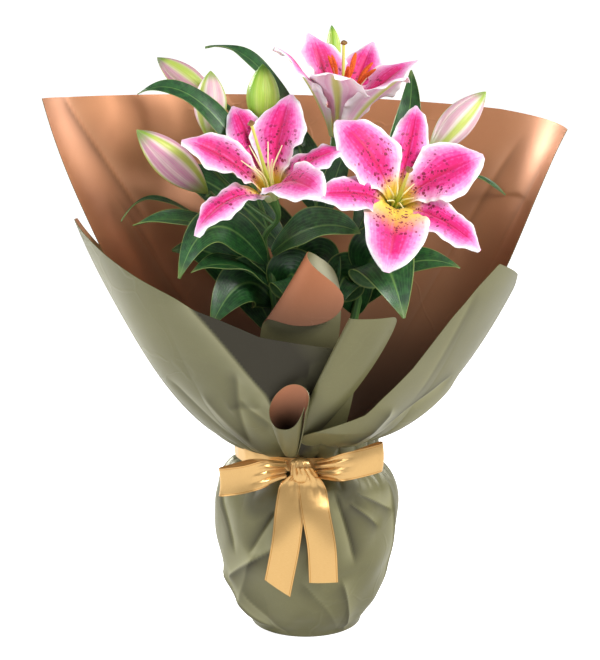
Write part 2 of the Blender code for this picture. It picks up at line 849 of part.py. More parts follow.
def build_stems(material):
    """The three stems, each with its own flower and buds."""

    def approach(flower):
        axis = FLOWERS[flower]["axis"].normalized()
        return [FLOWERS[flower]["base"] - axis * 0.025, FLOWERS[flower]["base"]]

    def branch(share, bud):
        base, tip, _ = BUDS[bud]
        return share, base, tip - base

    build_stem(
        "left",
        BULB_STATIONS["left"],
        [
            plant(-31, -14, 214),
            plant(-28, -16, 294),
            plant(-33, -18, 354),
            plant(-41, -18, 398),
            *approach("left"),
        ],
        {
            "left_low": branch(0.74, "left_low"),
            "left_middle": branch(0.84, "left_middle"),
            "left_high": branch(0.80, "left_high"),
        },
        material,
    )
    build_stem(
        "right",
        BULB_STATIONS["right"],
        [
            plant(36, -10, 214),
            plant(44, -8, 294),
            plant(56, -6, 354),
            plant(70, -10, 394),
            *approach("right"),
        ],
        {"right": branch(0.82, "right")},
        material,
    )
    build_stem(
        "back",
        BULB_STATIONS["back"],
        [plant(2, 32, 214), plant(3, 31, 314), plant(8, 28, 394), plant(16, 22, 444), *approach("back")],
        {"green": branch(0.80, "green"), "small": branch(0.83, "small")},
        material,
    )


def build_leaves(material):
    """The leaves that show between the flowers and the paper."""
    up = Vector((0, -0.35, 1))
    front = Vector((0, -1, 0.35))
    both = Vector((0, -0.7, 0.7))

    def at_stem(axis, towards, z):
        away = Vector(towards).normalized() * (STEM_RADIUS + LEAF_OFF_STEM)
        return plant(axis[0], axis[1], z) + Vector((away[0], away[1], 0))

    outward = Vector((math.cos(math.radians(25.6)), math.sin(math.radians(25.6)), 0))
    right_tip = collar_point(25.6, 0.432 + LIFT, 0.6) - outward * 0.0014
    leaves = {
        # base, middle, tip, width, direction of the upper side
        "arching": (plant(-2, 34, 484), plant(-46, 56, 626), plant(-101, 62, 580), 0.026, up),
        "high": (plant(-46, -8, 454), plant(-108, -4, 570), plant(-164, 2, 538), 0.024, both),
        "curled": (plant(-38, -9, 344), plant(-150, 44, 476), plant(-180, -24, 417), 0.010, up),
        "left": (
            at_stem((-34.8, -18), (-5, -2), 364),
            plant(-98, -36, 438),
            plant(-166, -52, 417),
            0.030,
            up,
        ),
        "drooping": (plant(-40, -24, 376), plant(-92, -92, 464), plant(-119, -97, 374), 0.030, front),
        "centre": (plant(-33, -26, 386), plant(10, -70, 434), plant(51, -80, 414), 0.034, both),
        "inner": (
            at_stem((-32.6, -17.8), (-3.4, -4.2), 349),
            plant(-70, -48, 392),
            plant(-110, -66, 374),
            0.028,
            up,
        ),
        "large": (plant(58, -13, 364), plant(70, -80, 424), plant(91, -112, 339), 0.046, front),
        "between": (plant(14, 14, 414), plant(32, 0, 464), plant(42, -4, 498), 0.024, front),
        "right": (plant(64, 0, 374), plant(140, 62, 492), right_tip, 0.015, up),
    }
    for name, (base, middle, tip, width, face) in leaves.items():
        build_leaf(name, base, middle, tip, width, face, material)


def build_papers(olive):
    """The pot cover and the five sheets of the collar."""
    build_cover(olive)
    back = [(5, 0.502), (40, 0.516), (90, 0.526), (140, 0.530), (174, 0.533)]

    def leaning_back(angle, height):
        rise = min(max((height - LIFT - 0.38) / 0.15, 0.0), 1.0)
        return 0.014 * rise * rise * max(math.cos(math.radians(angle)), 0.0) ** 2

    collar_sheet("wrap_back_sheet", back, 0.6, olive, 17, bulge=leaning_back)
    left = [(160, 0.364), (178, 0.412), (189, 0.414), (208, 0.386), (233, 0.360), (256, 0.330), (286, 0.314)]
    collar_sheet("wrap_left_sheet", left, 2, olive, 15)
    right = [(264, 0.212), (289, 0.242), (302, 0.286), (312, 0.339), (325, 0.397), (342, 0.376), (368, 0.320)]

    def over_roll(angle, height):
        near = max(0.0, 1 - abs(angle - 282) / 36)
        return 0.018 * near * near * (3 - 2 * near) * min(max(height - BAND_TOP, 0.0) / 0.03, 1.0)

    collar_sheet("wrap_right_sheet", right, OUTER_LAYER, olive, 15, bulge=over_roll)
    build_inner_sheet(olive)
    build_centre_roll(olive)


def build():
    """Builds the whole object."""
    clear_scene()
    bpy.context.scene.collection.children.link(parts)
    bpy.context.scene.collection.children.link(cutters)
    olive = finish("olive_paper", (0.21, 0.20, 0.10), 0.5)
    satin = finish("gold_satin", (0.73, 0.42, 0.13), 0.35)
    pink = finish("pink_tepal", (0.80, 0.16, 0.40), 0.5)
    lime = finish("pistil_green", (0.55, 0.60, 0.12), 0.5)
    rust = finish("stamen_rust", (0.72, 0.25, 0.04), 0.6)
    mauve = finish("bud_skin", (0.66, 0.46, 0.40), 0.5)
    green = finish("leaf_green", (0.04, 0.13, 0.03), 0.45)
    stalk = finish("stem_green", (0.10, 0.22, 0.06), 0.5)
    build_pot(finish("black_plastic", (0.02, 0.02, 0.02), 0.5))
    build_soil(finish("potting_soil", (0.05, 0.03, 0.02), 0.95), BULB_STATIONS)
    build_bulbs(finish("bulb_skin", (0.62, 0.50, 0.30), 0.6), BULB_STATIONS)
    build_stems(stalk)
    for name, flower in FLOWERS.items():
        build_flower(name, flower, pink, lime, rust)
    for name, (base, tip, width) in BUDS.items():
        build_bud(name, base, tip, width, mauve)
    build_leaves(green)
    build_papers(olive)
    build_ribbon(satin)


build()
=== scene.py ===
"""Looks of the gift-wrapped potted lily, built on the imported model's frame.

Metres, +Z up, front towards -Y. Each class below is one sub-assembly: it holds its sizes, builds its
meshes where the frame's nodes stand, and dresses them.
"""

from __future__ import annotations

import logging
import math
from dataclasses import dataclass, replace
from enum import Enum
from typing import Callable, Sequence

import bpy
import numpy as np
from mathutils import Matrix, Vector

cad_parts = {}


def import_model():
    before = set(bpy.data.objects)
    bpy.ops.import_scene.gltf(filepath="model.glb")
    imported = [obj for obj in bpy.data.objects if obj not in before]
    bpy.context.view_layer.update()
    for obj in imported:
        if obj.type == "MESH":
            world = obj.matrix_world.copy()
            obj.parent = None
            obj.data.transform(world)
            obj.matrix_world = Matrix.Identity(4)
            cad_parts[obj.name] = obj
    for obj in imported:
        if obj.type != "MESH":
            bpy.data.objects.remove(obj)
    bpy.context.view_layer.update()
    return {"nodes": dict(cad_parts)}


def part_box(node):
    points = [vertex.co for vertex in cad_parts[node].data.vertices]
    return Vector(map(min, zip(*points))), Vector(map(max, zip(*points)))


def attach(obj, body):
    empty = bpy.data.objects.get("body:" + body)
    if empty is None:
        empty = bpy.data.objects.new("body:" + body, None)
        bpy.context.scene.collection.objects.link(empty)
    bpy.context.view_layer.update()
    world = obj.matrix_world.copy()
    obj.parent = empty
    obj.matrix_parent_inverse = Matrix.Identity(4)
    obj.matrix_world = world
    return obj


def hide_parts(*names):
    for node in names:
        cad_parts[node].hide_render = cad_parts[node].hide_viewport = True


logging.basicConfig(level=logging.INFO, format="%(message)s")
LOG = logging.getLogger("potted_lily")

Array = np.ndarray
Colour = tuple[float, float, float, float]
Pair = tuple[float, float]
Triple = tuple[float, float, float]
Mesh = bpy.types.Mesh
Socket = bpy.types.NodeSocket
Sockets = bpy.types.NodeSocketCollection

NUMBER = "NodeSocketFloat"
VECTOR = "NodeSocketVector"
TINT = "NodeSocketColor"
WHITE = (1.0, 1.0, 1.0, 1.0)
UPRIGHT = (0.0, 0.0, 1.0)

# ---------------------------------------------------------------- small tools


def linear(red: float, green: float, blue: float) -> Colour:
    """A colour from display values of 0 to 255, as scene-linear RGBA.

    Args:
        red: Red on display.
        green: Green on display.
        blue: Blue on display.

    Returns:
        The same colour for a shader socket.
    """
    shares = [value / 255 for value in (red, green, blue)]
    light = [share / 12.92 if share <= 0.04045 else ((share + 0.055) / 1.055) ** 2.4 for share in shares]
    return (light[0], light[1], light[2], 1.0)


def ease(low: float, high: float, value: Array | float) -> Array:
    """Smooth step from 0 at low to 1 at high."""
    share = np.clip((np.asarray(value, float) - low) / (high - low), 0.0, 1.0)
    return share * share * (3 - 2 * share)


def blend(low: float | Array, high: float | Array, share: float | Array) -> Array:
    """Linear interpolation between two values."""
    return low + (high - low) * share


def mm(*values: float) -> Array:
    """A point or size given in millimetres."""
    return np.array(values, float) / 1000


def unit(direction: Sequence[float] | Array) -> Array:
    """A direction at length one."""
    direction = np.asarray(direction, float)
    return direction / np.linalg.norm(direction)


def square_axes(direction: Array) -> tuple[Array, Array]:
    """Two unit directions square to a third."""
    first = unit(np.cross(UPRIGHT, direction))
    return first, np.cross(direction, first)


def spline(points: Array, shares: Array) -> Array:
    """Points on a smooth curve that passes through others.

    Args:
        points: Points (n, k) that the curve passes through.
        shares: Shares of the way along, 0 to 1.

    Returns:
        One row for each share.
    """
    points = np.asarray(points, float)
    spans = len(points) - 1
    before = points[:1] * 2 - points[1:2]
    after = points[-1:] * 2 - points[-2:-1]
    padded = np.concatenate([before, points, after])
    place = np.clip(shares, 0.0, 1.0) * spans
    index = np.minimum(place.astype(int), spans - 1)
    t = (place - index)[:, None]
    p0, p1, p2, p3 = (padded[index + k] for k in range(4))
    return 0.5 * (
        p1 * 2 + (p2 - p0) * t + (p0 * 2 - p1 * 5 + p2 * 4 - p3) * t**2 + (p1 * 3 - p0 - p2 * 3 + p3) * t**3
    )


def around(count: int) -> Array:
    """Shares of a turn at points evenly round a ring."""
    return np.arange(count) / count


def oval(turn: Array, width: Array, first: Array, depth: Array, second: Array) -> Array:
    """Points round an oval, as moves from its middle along two directions."""
    return np.outer(width * np.cos(turn), first) + np.outer(depth * np.sin(turn), second)


def corners(node: str) -> tuple[Array, Array]:
    """Lowest and highest corner of a frame node's box."""
    low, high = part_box(node)
    return np.array(low), np.array(high)


def link(name: str, data: bpy.types.ID) -> bpy.types.Object:
    """A new object in the scene."""
    made = bpy.data.objects.new(name, data)
    bpy.context.scene.collection.objects.link(made)
    return made


def seat(node: str, plain: Array) -> Array:
    """How far a plain shape has to move to stand where its node stands.

    Args:
        node: Name of the frame's node.
        plain: Points of the same shape without its fine detail.

    Returns:
        The move, close to nothing while both are made alike.
    """
    low, high = corners(node)
    flat = plain.reshape(-1, 3)
    return (low + high) / 2 - (flat.min(0) + flat.max(0)) / 2


# ---------------------------------------------------------------- shader graphs


class Graph:
    """Adds nodes to a tree and joins their sockets."""

    def __init__(self, tree: bpy.types.NodeTree) -> None:
        """Keeps the tree to work on."""
        self.tree = tree

    def node(self, kind: str, feeds: dict | None = None, **settings: object) -> bpy.types.Node:
        """Adds a node with some of its settings, and feeds its inputs by name or number."""
        made = self.tree.nodes.new(kind)
        for name, value in settings.items():
            setattr(made, name, value)
        for key, value in (feeds or {}).items():
            self.feed(made.inputs[key], value)
        return made

    def feed(self, socket: Socket, value: object) -> None:
        """Links a socket to another, or sets its value."""
        if isinstance(value, Socket):
            self.tree.links.new(value, socket)
        elif value is not None:
            socket.default_value = value

    def sum(self, operation: str, *values: object, clamp: bool = False) -> Socket:
        """Output of a Math node."""
        feeds = dict(enumerate(values))
        return self.node("ShaderNodeMath", feeds, operation=operation, use_clamp=clamp).outputs[0]

    def plus(self, first: object, second: object, clamp: bool = False) -> Socket:
        """One value and another."""
        return self.sum("ADD", first, second, clamp=clamp)

    def less(self, first: object, second: object) -> Socket:
        """One value less another."""
        return self.sum("SUBTRACT", first, second)

    def times(self, first: object, second: object, clamp: bool = False) -> Socket:
        """One value times another."""
        return self.sum("MULTIPLY", first, second, clamp=clamp)

    def off_middle(self, share: object) -> Socket:
        """0 in the middle of a share of the width and 1 at both sides."""
        return self.sum("ABSOLUTE", self.less(self.times(share, 2.0), 1.0))

    def step(self, value: object, low: object, high: object) -> Socket:
        """Smooth step from 0 at low to 1 at high."""
        feeds = dict(enumerate((value, low, high, 0.0, 1.0)))
        return self.node("ShaderNodeMapRange", feeds, interpolation_type="SMOOTHSTEP").outputs[0]

    def fall(self, value: object, low: object, high: object) -> Socket:
        """Smooth step from 1 at low to 0 at high."""
        return self.less(1.0, self.step(value, low, high))

    def window(self, value: object, rise: Pair, fall: Pair) -> Socket:
        """Mask that rises over one range and falls over another."""
        return self.times(self.step(value, *rise), self.fall(value, *fall))

    def mix(self, share: object, first: object, second: object) -> Socket:
        """Colour between two others."""
        return self.node("ShaderNodeMix", {0: share, 6: first, 7: second}, data_type="RGBA").outputs[2]

    def tint(self, colour: object, mask: object, amount: object, other: object, clamp: bool = False) -> Socket:
        """A colour with some of another where a mask is."""
        return self.mix(self.times(mask, amount, clamp), colour, other)

    def ramp(self, value: object, stops: Sequence[tuple[float, Colour]]) -> Socket:
        """Colour read from stops at places from 0 to 1."""
        made = self.node("ShaderNodeValToRGB", {0: value})
        made.color_ramp.interpolation = "EASE"
        elements = made.color_ramp.elements
        while len(elements) < len(stops):
            elements.new(1.0)
        for element, (place, colour) in zip(elements, stops):
            element.position = place
            element.color = colour
        return made.outputs[0]

    def noise(self, place: object, scale: object, detail: float = 3.0, rough: float = 0.55) -> Socket:
        """Soft noise from 0 to 1."""
        feeds = {"Vector": place, "Scale": scale, "Detail": detail, "Roughness": rough}
        return self.node("ShaderNodeTexNoise", feeds).outputs[0]

    def cells(self, place: object, scale: object, feature: str = "F1") -> Sockets:
        """Outputs of a Voronoi texture."""
        return self.node("ShaderNodeTexVoronoi", {"Vector": place, "Scale": scale}, feature=feature).outputs

    def stretch(self, place: object, scale: Triple) -> Socket:
        """Coordinates multiplied along each axis."""
        return self.node("ShaderNodeMapping", {"Vector": place, "Scale": scale}).outputs[0]

    def split(self, vector: object) -> Sockets:
        """The three parts of a vector."""
        return self.node("ShaderNodeSeparateXYZ", {0: vector}).outputs

    def join(self, x: object, y: object, z: object) -> Socket:
        """A vector from its three parts."""
        return self.node("ShaderNodeCombineXYZ", {0: x, 1: y, 2: z}).outputs[0]

    def spread(self, layer: str) -> Socket:
        """Coordinates of one of the piece's own UV maps."""
        return self.node("ShaderNodeUVMap", uv_map=layer).outputs[0]

    def place(self) -> Socket:
        """Object coordinates."""
        return self.node("ShaderNodeTexCoord").outputs["Object"]

    def bump(self, height: object, strength: float, distance: float) -> Socket:
        """Normal raised by a height."""
        feeds = {"Strength": strength, "Distance": distance, "Height": height}
        return self.node("ShaderNodeBump", feeds).outputs[0]

    def paint(self, sockets: Sockets, colour: object, height: object, strength: float, distance: float) -> None:
        """Feeds a shader its colour, and its normal from a height."""
        self.feed(sockets["Base Color"], colour)
        self.feed(sockets["Normal"], self.bump(height, strength, distance))


class Effect:
    """A shader node group, built once and placed in each material with its own values."""

    title = "effect"
    takes: tuple[tuple[str, str, object], ...] = ()
    gives: tuple[tuple[str, str], ...] = ()

    def wire(self, graph: Graph, start: Sockets, end: Sockets) -> None:
        """Adds the group's nodes between its inputs and outputs."""
        raise NotImplementedError

    def tree(self) -> bpy.types.NodeTree:
        """The group's tree, made the first time that it is asked for."""
        known = bpy.data.node_groups.get(self.title)
        if known:
            return known
        tree = bpy.data.node_groups.new(self.title, "ShaderNodeTree")
        for name, kind, value in self.takes:
            socket = tree.interface.new_socket(name=name, in_out="INPUT", socket_type=kind)
            if value is not None:
                socket.default_value = value
        for name, kind in self.gives:
            tree.interface.new_socket(name=name, in_out="OUTPUT", socket_type=kind)
        graph = Graph(tree)
        start = graph.node("NodeGroupInput")
        end = graph.node("NodeGroupOutput")
        self.wire(graph, start.outputs, end.inputs)
        return tree

    def use(self, graph: Graph, **values: object) -> Sockets:
        """Places the group in a material.

        Args:
            graph: Graph of the material.
            values: Each input's value or source, by its name in lower case.

        Returns:
            The group's outputs.
        """
        node = graph.node("ShaderNodeGroup", node_tree=self.tree())
        for name, value in values.items():
            graph.feed(node.inputs[name.capitalize()], value)
        return node.outputs


class Crinkle(Effect):
    """Handling marks of stiff paper: fine ridges between flat facets."""

    title = "paper_crinkle"
    takes = (("Place", VECTOR, None), ("Scale", NUMBER, 20.0), ("Sharp", NUMBER, 0.05))
    gives = (("Height", NUMBER), ("Mask", NUMBER))

    def wire(self, graph: Graph, start: Sockets, end: Sockets) -> None:
        """Ridges along the edges of bent cells, over slow waves."""
        warp = graph.node("ShaderNodeTexNoise", {"Vector": start["Place"], "Scale": start["Scale"]})
        shift = graph.node("ShaderNodeVectorMath", {0: warp.outputs["Color"], "Scale": 0.05}, operation="SCALE")
        bent = graph.node("ShaderNodeVectorMath", {0: start["Place"], 1: shift.outputs[0]}, operation="ADD")
        edge = graph.cells(bent.outputs[0], start["Scale"], "DISTANCE_TO_EDGE")[0]
        ridge = graph.fall(edge, 0.0, start["Sharp"])
        fade = graph.step(graph.noise(start["Place"], graph.times(start["Scale"], 0.6)), 0.46, 0.68)
        mask = graph.times(ridge, fade)
        waves = graph.noise(start["Place"], graph.times(start["Scale"], 0.9), 2.0)
        graph.feed(end["Mask"], mask)
        graph.feed(end["Height"], graph.plus(graph.times(mask, 0.35), waves))


class Fibres(Effect):
    """Fine fibres of a sheet, in two crossed directions."""

    title = "sheet_fibres"
    takes = (("Place", VECTOR, None), ("Scale", NUMBER, 900.0))
    gives = (("Height", NUMBER),)

    def wire(self, graph: Graph, start: Sockets, end: Sockets) -> None:
        """Two stretched noises, averaged."""
        one = graph.noise(graph.stretch(start["Place"], (0.15, 1.0, 1.0)), start["Scale"], 2.0)
        two = graph.noise(graph.stretch(start["Place"], (1.0, 1.0, 0.15)), start["Scale"], 2.0)
        graph.feed(end["Height"], graph.times(graph.plus(one, two), 0.5))


class Veins(Effect):
    """Fine lines that run the length of a petal, leaf, bud or stem."""

    title = "long_veins"
    takes = (("Share", VECTOR, None), ("Count", NUMBER, 20.0), ("Waver", NUMBER, 0.6))
    gives = (("Mask", NUMBER), ("Streak", NUMBER))

    def wire(self, graph: Graph, start: Sockets, end: Sockets) -> None:
        """Lines across the width, bent by a slow noise, and broad streaks."""
        parts = graph.split(start["Share"])
        drift = graph.noise(graph.stretch(start["Share"], (3.0, 1.6, 1.0)), 3.0, 2.0)
        bent = graph.times(graph.less(drift, 0.5), start["Waver"])
        turns = graph.times(parts["X"], start["Count"])
        wave = graph.sum("COSINE", graph.times(graph.plus(turns, bent), math.tau))
        graph.feed(end["Mask"], graph.step(wave, 0.1, 1.0))
        lengthways = graph.stretch(start["Share"], (1.0, 0.05, 1.0))
        graph.feed(end["Streak"], graph.noise(lengthways, start["Count"], 3.0))


class Mottle(Effect):
    """Uneven colour: a second tone in soft patches."""

    title = "soft_mottle"
    takes = (
        ("Place", VECTOR, None),
        ("Colour", TINT, (0.5, 0.5, 0.5, 1.0)),
        ("Shade", TINT, (0.3, 0.3, 0.3, 1.0)),
        ("Scale", NUMBER, 20.0),
        ("Amount", NUMBER, 0.5),
    )
    gives = (("Colour", TINT), ("Mask", NUMBER))

    def wire(self, graph: Graph, start: Sockets, end: Sockets) -> None:
        """A broad noise broken up by a finer one."""
        broad = graph.noise(start["Place"], start["Scale"], 4.0, 0.6)
        mask = graph.step(broad, 0.32, 0.72)
        share = graph.times(mask, start["Amount"])
        graph.feed(end["Mask"], mask)
        graph.feed(end["Colour"], graph.mix(share, start["Colour"], start["Shade"]))


class Speckle(Effect):
    """Scattered round spots of uneven size."""

    title = "round_speckle"
    takes = (("Place", VECTOR, None), ("Scale", NUMBER, 25.0), ("Size", NUMBER, 0.25))
    gives = (("Mask", NUMBER),)

    def wire(self, graph: Graph, start: Sockets, end: Sockets) -> None:
        """One spot in each cell, its radius set by the cell's own random value."""
        cell = graph.cells(start["Place"], start["Scale"])
        own = graph.split(cell["Color"])["X"]
        radius = graph.times(start["Size"], graph.plus(graph.times(own, 0.9), 0.25))
        outer = graph.times(radius, 1.25)
        graph.feed(end["Mask"], graph.fall(cell["Distance"], radius, outer))


class SatinWeave(Effect):
    """Fine slanted floats of satin and the cross threads under them."""

    title = "satin_weave"
    takes = (("Place", VECTOR, None), ("Threads", NUMBER, 180.0))
    gives = (("Height", NUMBER), ("Streak", NUMBER))

    def wire(self, graph: Graph, start: Sockets, end: Sockets) -> None:
        """Threads across the ribbon, broken by slanted floats."""
        parts = graph.split(start["Place"])
        along = graph.times(parts["Y"], start["Threads"])
        over = graph.times(parts["X"], start["Threads"])
        thread = graph.sum("SINE", graph.times(along, math.tau))
        slant = graph.sum("SINE", graph.times(graph.plus(over, graph.times(along, 0.4)), 2.2))
        graph.feed(end["Height"], graph.plus(thread, graph.times(slant, 0.4)))
        # A soft lengthways streak, used as painted sheen.
        streak = graph.noise(graph.stretch(start["Place"], (1.0, 8.0, 1.0)), 30.0, 3.0)
        graph.feed(end["Streak"], streak)


# ---------------------------------------------------------------- finishes


@dataclass(frozen=True)
class Finish:
    """A finish: its name, and the settings that are the same all over it."""

    name: str = "finish"
    roughness: float = 0.5
    metallic: float = 0.0
    specular: float = 0.5
    sheen: float = 0.0
    coat: float = 0.0
    coat_roughness: float = 0.3
    subsurface: float = 0.0
    anisotropic: float = 0.0

    def material(self) -> bpy.types.Material:
        """The finish's material, made the first time that it is asked for."""
        known = bpy.data.materials.get(self.name)
        if known:
            return known
        made = bpy.data.materials.new(self.name)
        made.use_nodes = True
        shader = made.node_tree.nodes["Principled BSDF"]
        names = ("Roughness", "Metallic", "Specular IOR Level", "Sheen Weight", "Coat Weight", "Coat Roughness")
        values = (self.roughness, self.metallic, self.specular, self.sheen, self.coat, self.coat_roughness)
        for name, value in zip(names, values):
            shader.inputs[name].default_value = value
        shader.inputs["Subsurface Weight"].default_value = self.subsurface
        shader.inputs["Anisotropic"].default_value = self.anisotropic
        if self.subsurface:
            shader.inputs["Subsurface Scale"].default_value = 0.004
        self.dress(Graph(made.node_tree), shader.inputs)
        return made

    def dress(self, graph: Graph, sockets: Sockets) -> None:
        """Adds the pattern that the finish shows."""
        raise NotImplementedError


@dataclass(frozen=True)
class TepalFace(Finish):
    """Inner face of a tepal: crimson midrib, magenta middle, white margin, yellow throat and spots."""

    name: str = "tepal_face"
    roughness: float = 0.48
    specular: float = 0.35
    sheen: float = 0.15
    subsurface: float = 0.10
    heart: Colour = linear(214, 26, 116)
    middle: Colour = linear(224, 66, 152)
    blush: Colour = linear(232, 132, 194)
    pale: Colour = linear(244, 196, 226)
    margin: Colour = linear(253, 246, 249)
    rib: Colour = linear(196, 14, 84)
    throat: Colour = linear(246, 212, 74)
    well: Colour = linear(190, 200, 70)
    spot: Colour = linear(128, 4, 54)
    throat_edge: Pair = (0.14, 0.34)

    def dress(self, graph: Graph, sockets: Sockets) -> None:
        """Colours read from the share of the way across and along."""
        share = graph.spread("share")
        metric = graph.spread("metric")
        parts = graph.split(share)
        side = graph.off_middle(parts["X"])
        along = parts["Y"]
        wander = graph.less(graph.noise(metric, 26.0, 4.0), 0.5)
        veins = Veins().use(graph, share=share, count=22.0, waver=0.9)
        rim = graph.times(graph.sum("POWER", side, 2.6), 0.60)
        tip = graph.times(graph.step(along, 0.78, 1.04), 0.44)
        foot = graph.times(graph.fall(along, 0.12, 0.46), 0.22)
        edge = graph.plus(graph.plus(rim, tip), graph.plus(foot, graph.times(wander, 0.26)))
        streak = graph.times(graph.less(veins["Streak"], 0.5), 0.28)
        edge = graph.plus(edge, streak, clamp=True)
        tones = (self.heart, self.middle, self.blush, self.pale, self.margin)
        colour = graph.ramp(edge, list(zip((0.0, 0.07, 0.20, 0.40, 0.57), tones)))
        inside = graph.fall(side, 0.015, 0.11)
        rib = graph.times(inside, graph.window(along, (0.10, 0.26), (0.62, 0.90)))
        colour = graph.tint(colour, rib, 0.85, self.rib)
        bottom = graph.plus(along, graph.times(wander, 0.10))
        colour = graph.mix(graph.fall(bottom, *self.throat_edge), colour, self.throat)
        colour = graph.mix(graph.fall(bottom, 0.02, 0.12), colour, self.well)
        spots = Speckle().use(graph, place=metric, scale=22.0, size=0.33)["Mask"]
        field_along = graph.window(along, (0.13, 0.22), (0.58, 0.76))
        field_across = graph.fall(side, 0.62, 0.90)
        spots = graph.times(spots, graph.times(field_along, field_across))
        colour = graph.tint(colour, spots, 0.95, self.spot)
        lines = graph.times(veins["Mask"], -0.35)
        height = graph.plus(lines, graph.plus(spots, graph.noise(metric, 120.0, 2.0)))
        graph.paint(sockets, colour, height, 0.35, 0.0006)


@dataclass(frozen=True)
class TepalBack(Finish):
    """Outer face of a tepal: pale pink with a yellow-green rib."""

    name: str = "tepal_back"
    roughness: float = 0.5
    specular: float = 0.35
    sheen: float = 0.15
    subsurface: float = 0.10
    pale: Colour = linear(250, 232, 238)
    blush: Colour = linear(236, 170, 205)
    rib: Colour = linear(196, 196, 84)
    foot: Colour = linear(168, 192, 84)

    def dress(self, graph: Graph, sockets: Sockets) -> None:
        """A rib down the middle and a blush in streaks beside it."""
        share = graph.spread("share")
        parts = graph.split(share)
        side = graph.off_middle(parts["X"])
        veins = Veins().use(graph, share=share, count=18.0, waver=0.7)
        blush = graph.times(graph.window(side, (0.08, 0.30), (0.45, 0.85)), veins["Streak"])
        colour = graph.tint(self.pale, blush, 1.35, self.blush, True)
        near = graph.fall(side, 0.05, 0.24)
        rib = graph.times(near, graph.window(parts["Y"], (0.0, 0.02), (0.78, 1.0)))
        colour = graph.tint(colour, rib, 0.9, self.rib)
        base = graph.fall(parts["Y"], 0.08, 0.30)
        colour = graph.tint(colour, base, 0.8, self.foot)
        height = graph.plus(graph.times(veins["Mask"], 0.5), graph.noise(graph.spread("metric"), 90.0))
        graph.paint(sockets, colour, height, 0.3, 0.0005)


@dataclass(frozen=True)
class BudSkin(Finish):
    """Skin of a closed bud: three ribs, pink between them, green at its foot and tip."""

    name: str = "bud_skin"
    roughness: float = 0.42
    specular: float = 0.45
    coat: float = 0.12
    subsurface: float = 0.08
    skin: Colour = linear(236, 212, 206)
    blush: Colour = linear(208, 140, 172)
    rib: Colour = linear(190, 204, 84)
    foot: Colour = linear(160, 190, 80)
    tip: Colour = linear(112, 150, 48)
    rib_width: float = 0.34
    rib_strength: float = 0.95

    def dress(self, graph: Graph, sockets: Sockets) -> None:
        """Three repeats round the bud, each with a rib in its middle and a seam at its sides."""
        share = graph.spread("share")
        parts = graph.split(share)
        lobe = graph.sum("FRACT", graph.times(parts["X"], 3.0))
        off = graph.off_middle(lobe)
        veins = Veins().use(graph, share=share, count=42.0, waver=0.5)
        blush = graph.times(graph.window(off, (0.30, 0.55), (0.80, 1.0)), veins["Streak"])
        colour = graph.tint(self.skin, blush, 1.7, self.blush, True)
        near = graph.fall(off, 0.10, self.rib_width)
        colour = graph.tint(colour, near, self.rib_strength, self.rib)
        seam = graph.step(off, 0.90, 1.0)
        colour = graph.tint(colour, seam, 0.5, self.blush)
        base = graph.fall(parts["Y"], 0.06, 0.34)
        colour = graph.tint(colour, base, 0.9, self.foot)
        top = graph.step(parts["Y"], 0.80, 0.97)
        colour = graph.tint(colour, top, 0.9, self.tip)
        fine = graph.times(graph.less(veins["Mask"], 0.5), 0.16)
        colour = graph.mix(graph.plus(fine, 0.06, clamp=True), colour, self.tip)
        height = graph.plus(graph.times(veins["Mask"], 0.6), graph.noise(graph.spread("metric"), 70.0))
        graph.paint(sockets, colour, height, 0.3, 0.0005)


@dataclass(frozen=True)
class LeafFace(Finish):
    """A leaf's face: deep glossy green, long veins, a lighter midline and a thin pale margin."""

    name: str = "leaf_face"
    roughness: float = 0.36
    specular: float = 0.5
    coat: float = 0.15
    deep: Colour = linear(20, 58, 30)
    fresh: Colour = linear(48, 104, 46)
    vein: Colour = linear(82, 134, 70)
    midline: Colour = linear(120, 160, 84)
    margin: Colour = linear(150, 170, 90)

    def dress(self, graph: Graph, sockets: Sockets) -> None:
        """Veins across the width over an uneven green."""
        share = graph.spread("share")
        metric = graph.spread("metric")
        parts = graph.split(share)
        side = graph.off_middle(parts["X"])
        toned = Mottle().use(graph, place=metric, colour=self.deep, shade=self.fresh, scale=14.0, amount=0.75)
        base = toned["Colour"]
        veins = Veins().use(graph, share=share, count=13.0, waver=0.25)
        colour = graph.tint(base, veins["Mask"], 0.16, self.vein)
        middle = graph.fall(side, 0.015, 0.075)
        colour = graph.tint(colour, middle, 0.55, self.midline)
        edge = graph.step(side, 0.93, 1.0)
        colour = graph.tint(colour, edge, 0.6, self.margin)
        tip = graph.step(parts["Y"], 0.90, 1.0)
        colour = graph.tint(colour, tip, 0.35, self.margin)
        height = graph.plus(graph.times(veins["Mask"], -0.8), graph.noise(metric, 60.0, 3.0))
        graph.paint(sockets, colour, height, 0.35, 0.0006)


@dataclass(frozen=True)
class StemSkin(Finish):
    """Skin of a stem: streaked green with small brown flecks."""

    name: str = "stem_skin"
    roughness: float = 0.45
    specular: float = 0.45
    fresh: Colour = linear(92, 132, 66)
    deep: Colour = linear(52, 88, 44)
    fleck: Colour = linear(88, 66, 46)

    def dress(self, graph: Graph, sockets: Sockets) -> None:
        """Lengthways streaks and flecks."""
        share = graph.spread("share")
        place = graph.place()
        veins = Veins().use(graph, share=share, count=9.0, waver=0.4)
        colour = graph.mix(graph.step(veins["Streak"], 0.35, 0.65), self.deep, self.fresh)
        flecks = Speckle().use(graph, place=graph.stretch(place, (1.0, 1.0, 0.5)), scale=420.0, size=0.22)["Mask"]
        colour = graph.tint(colour, flecks, 0.4, self.fleck)
        height = graph.plus(veins["Mask"], graph.noise(place, 260.0))
        graph.paint(sockets, colour, height, 0.3, 0.0005)


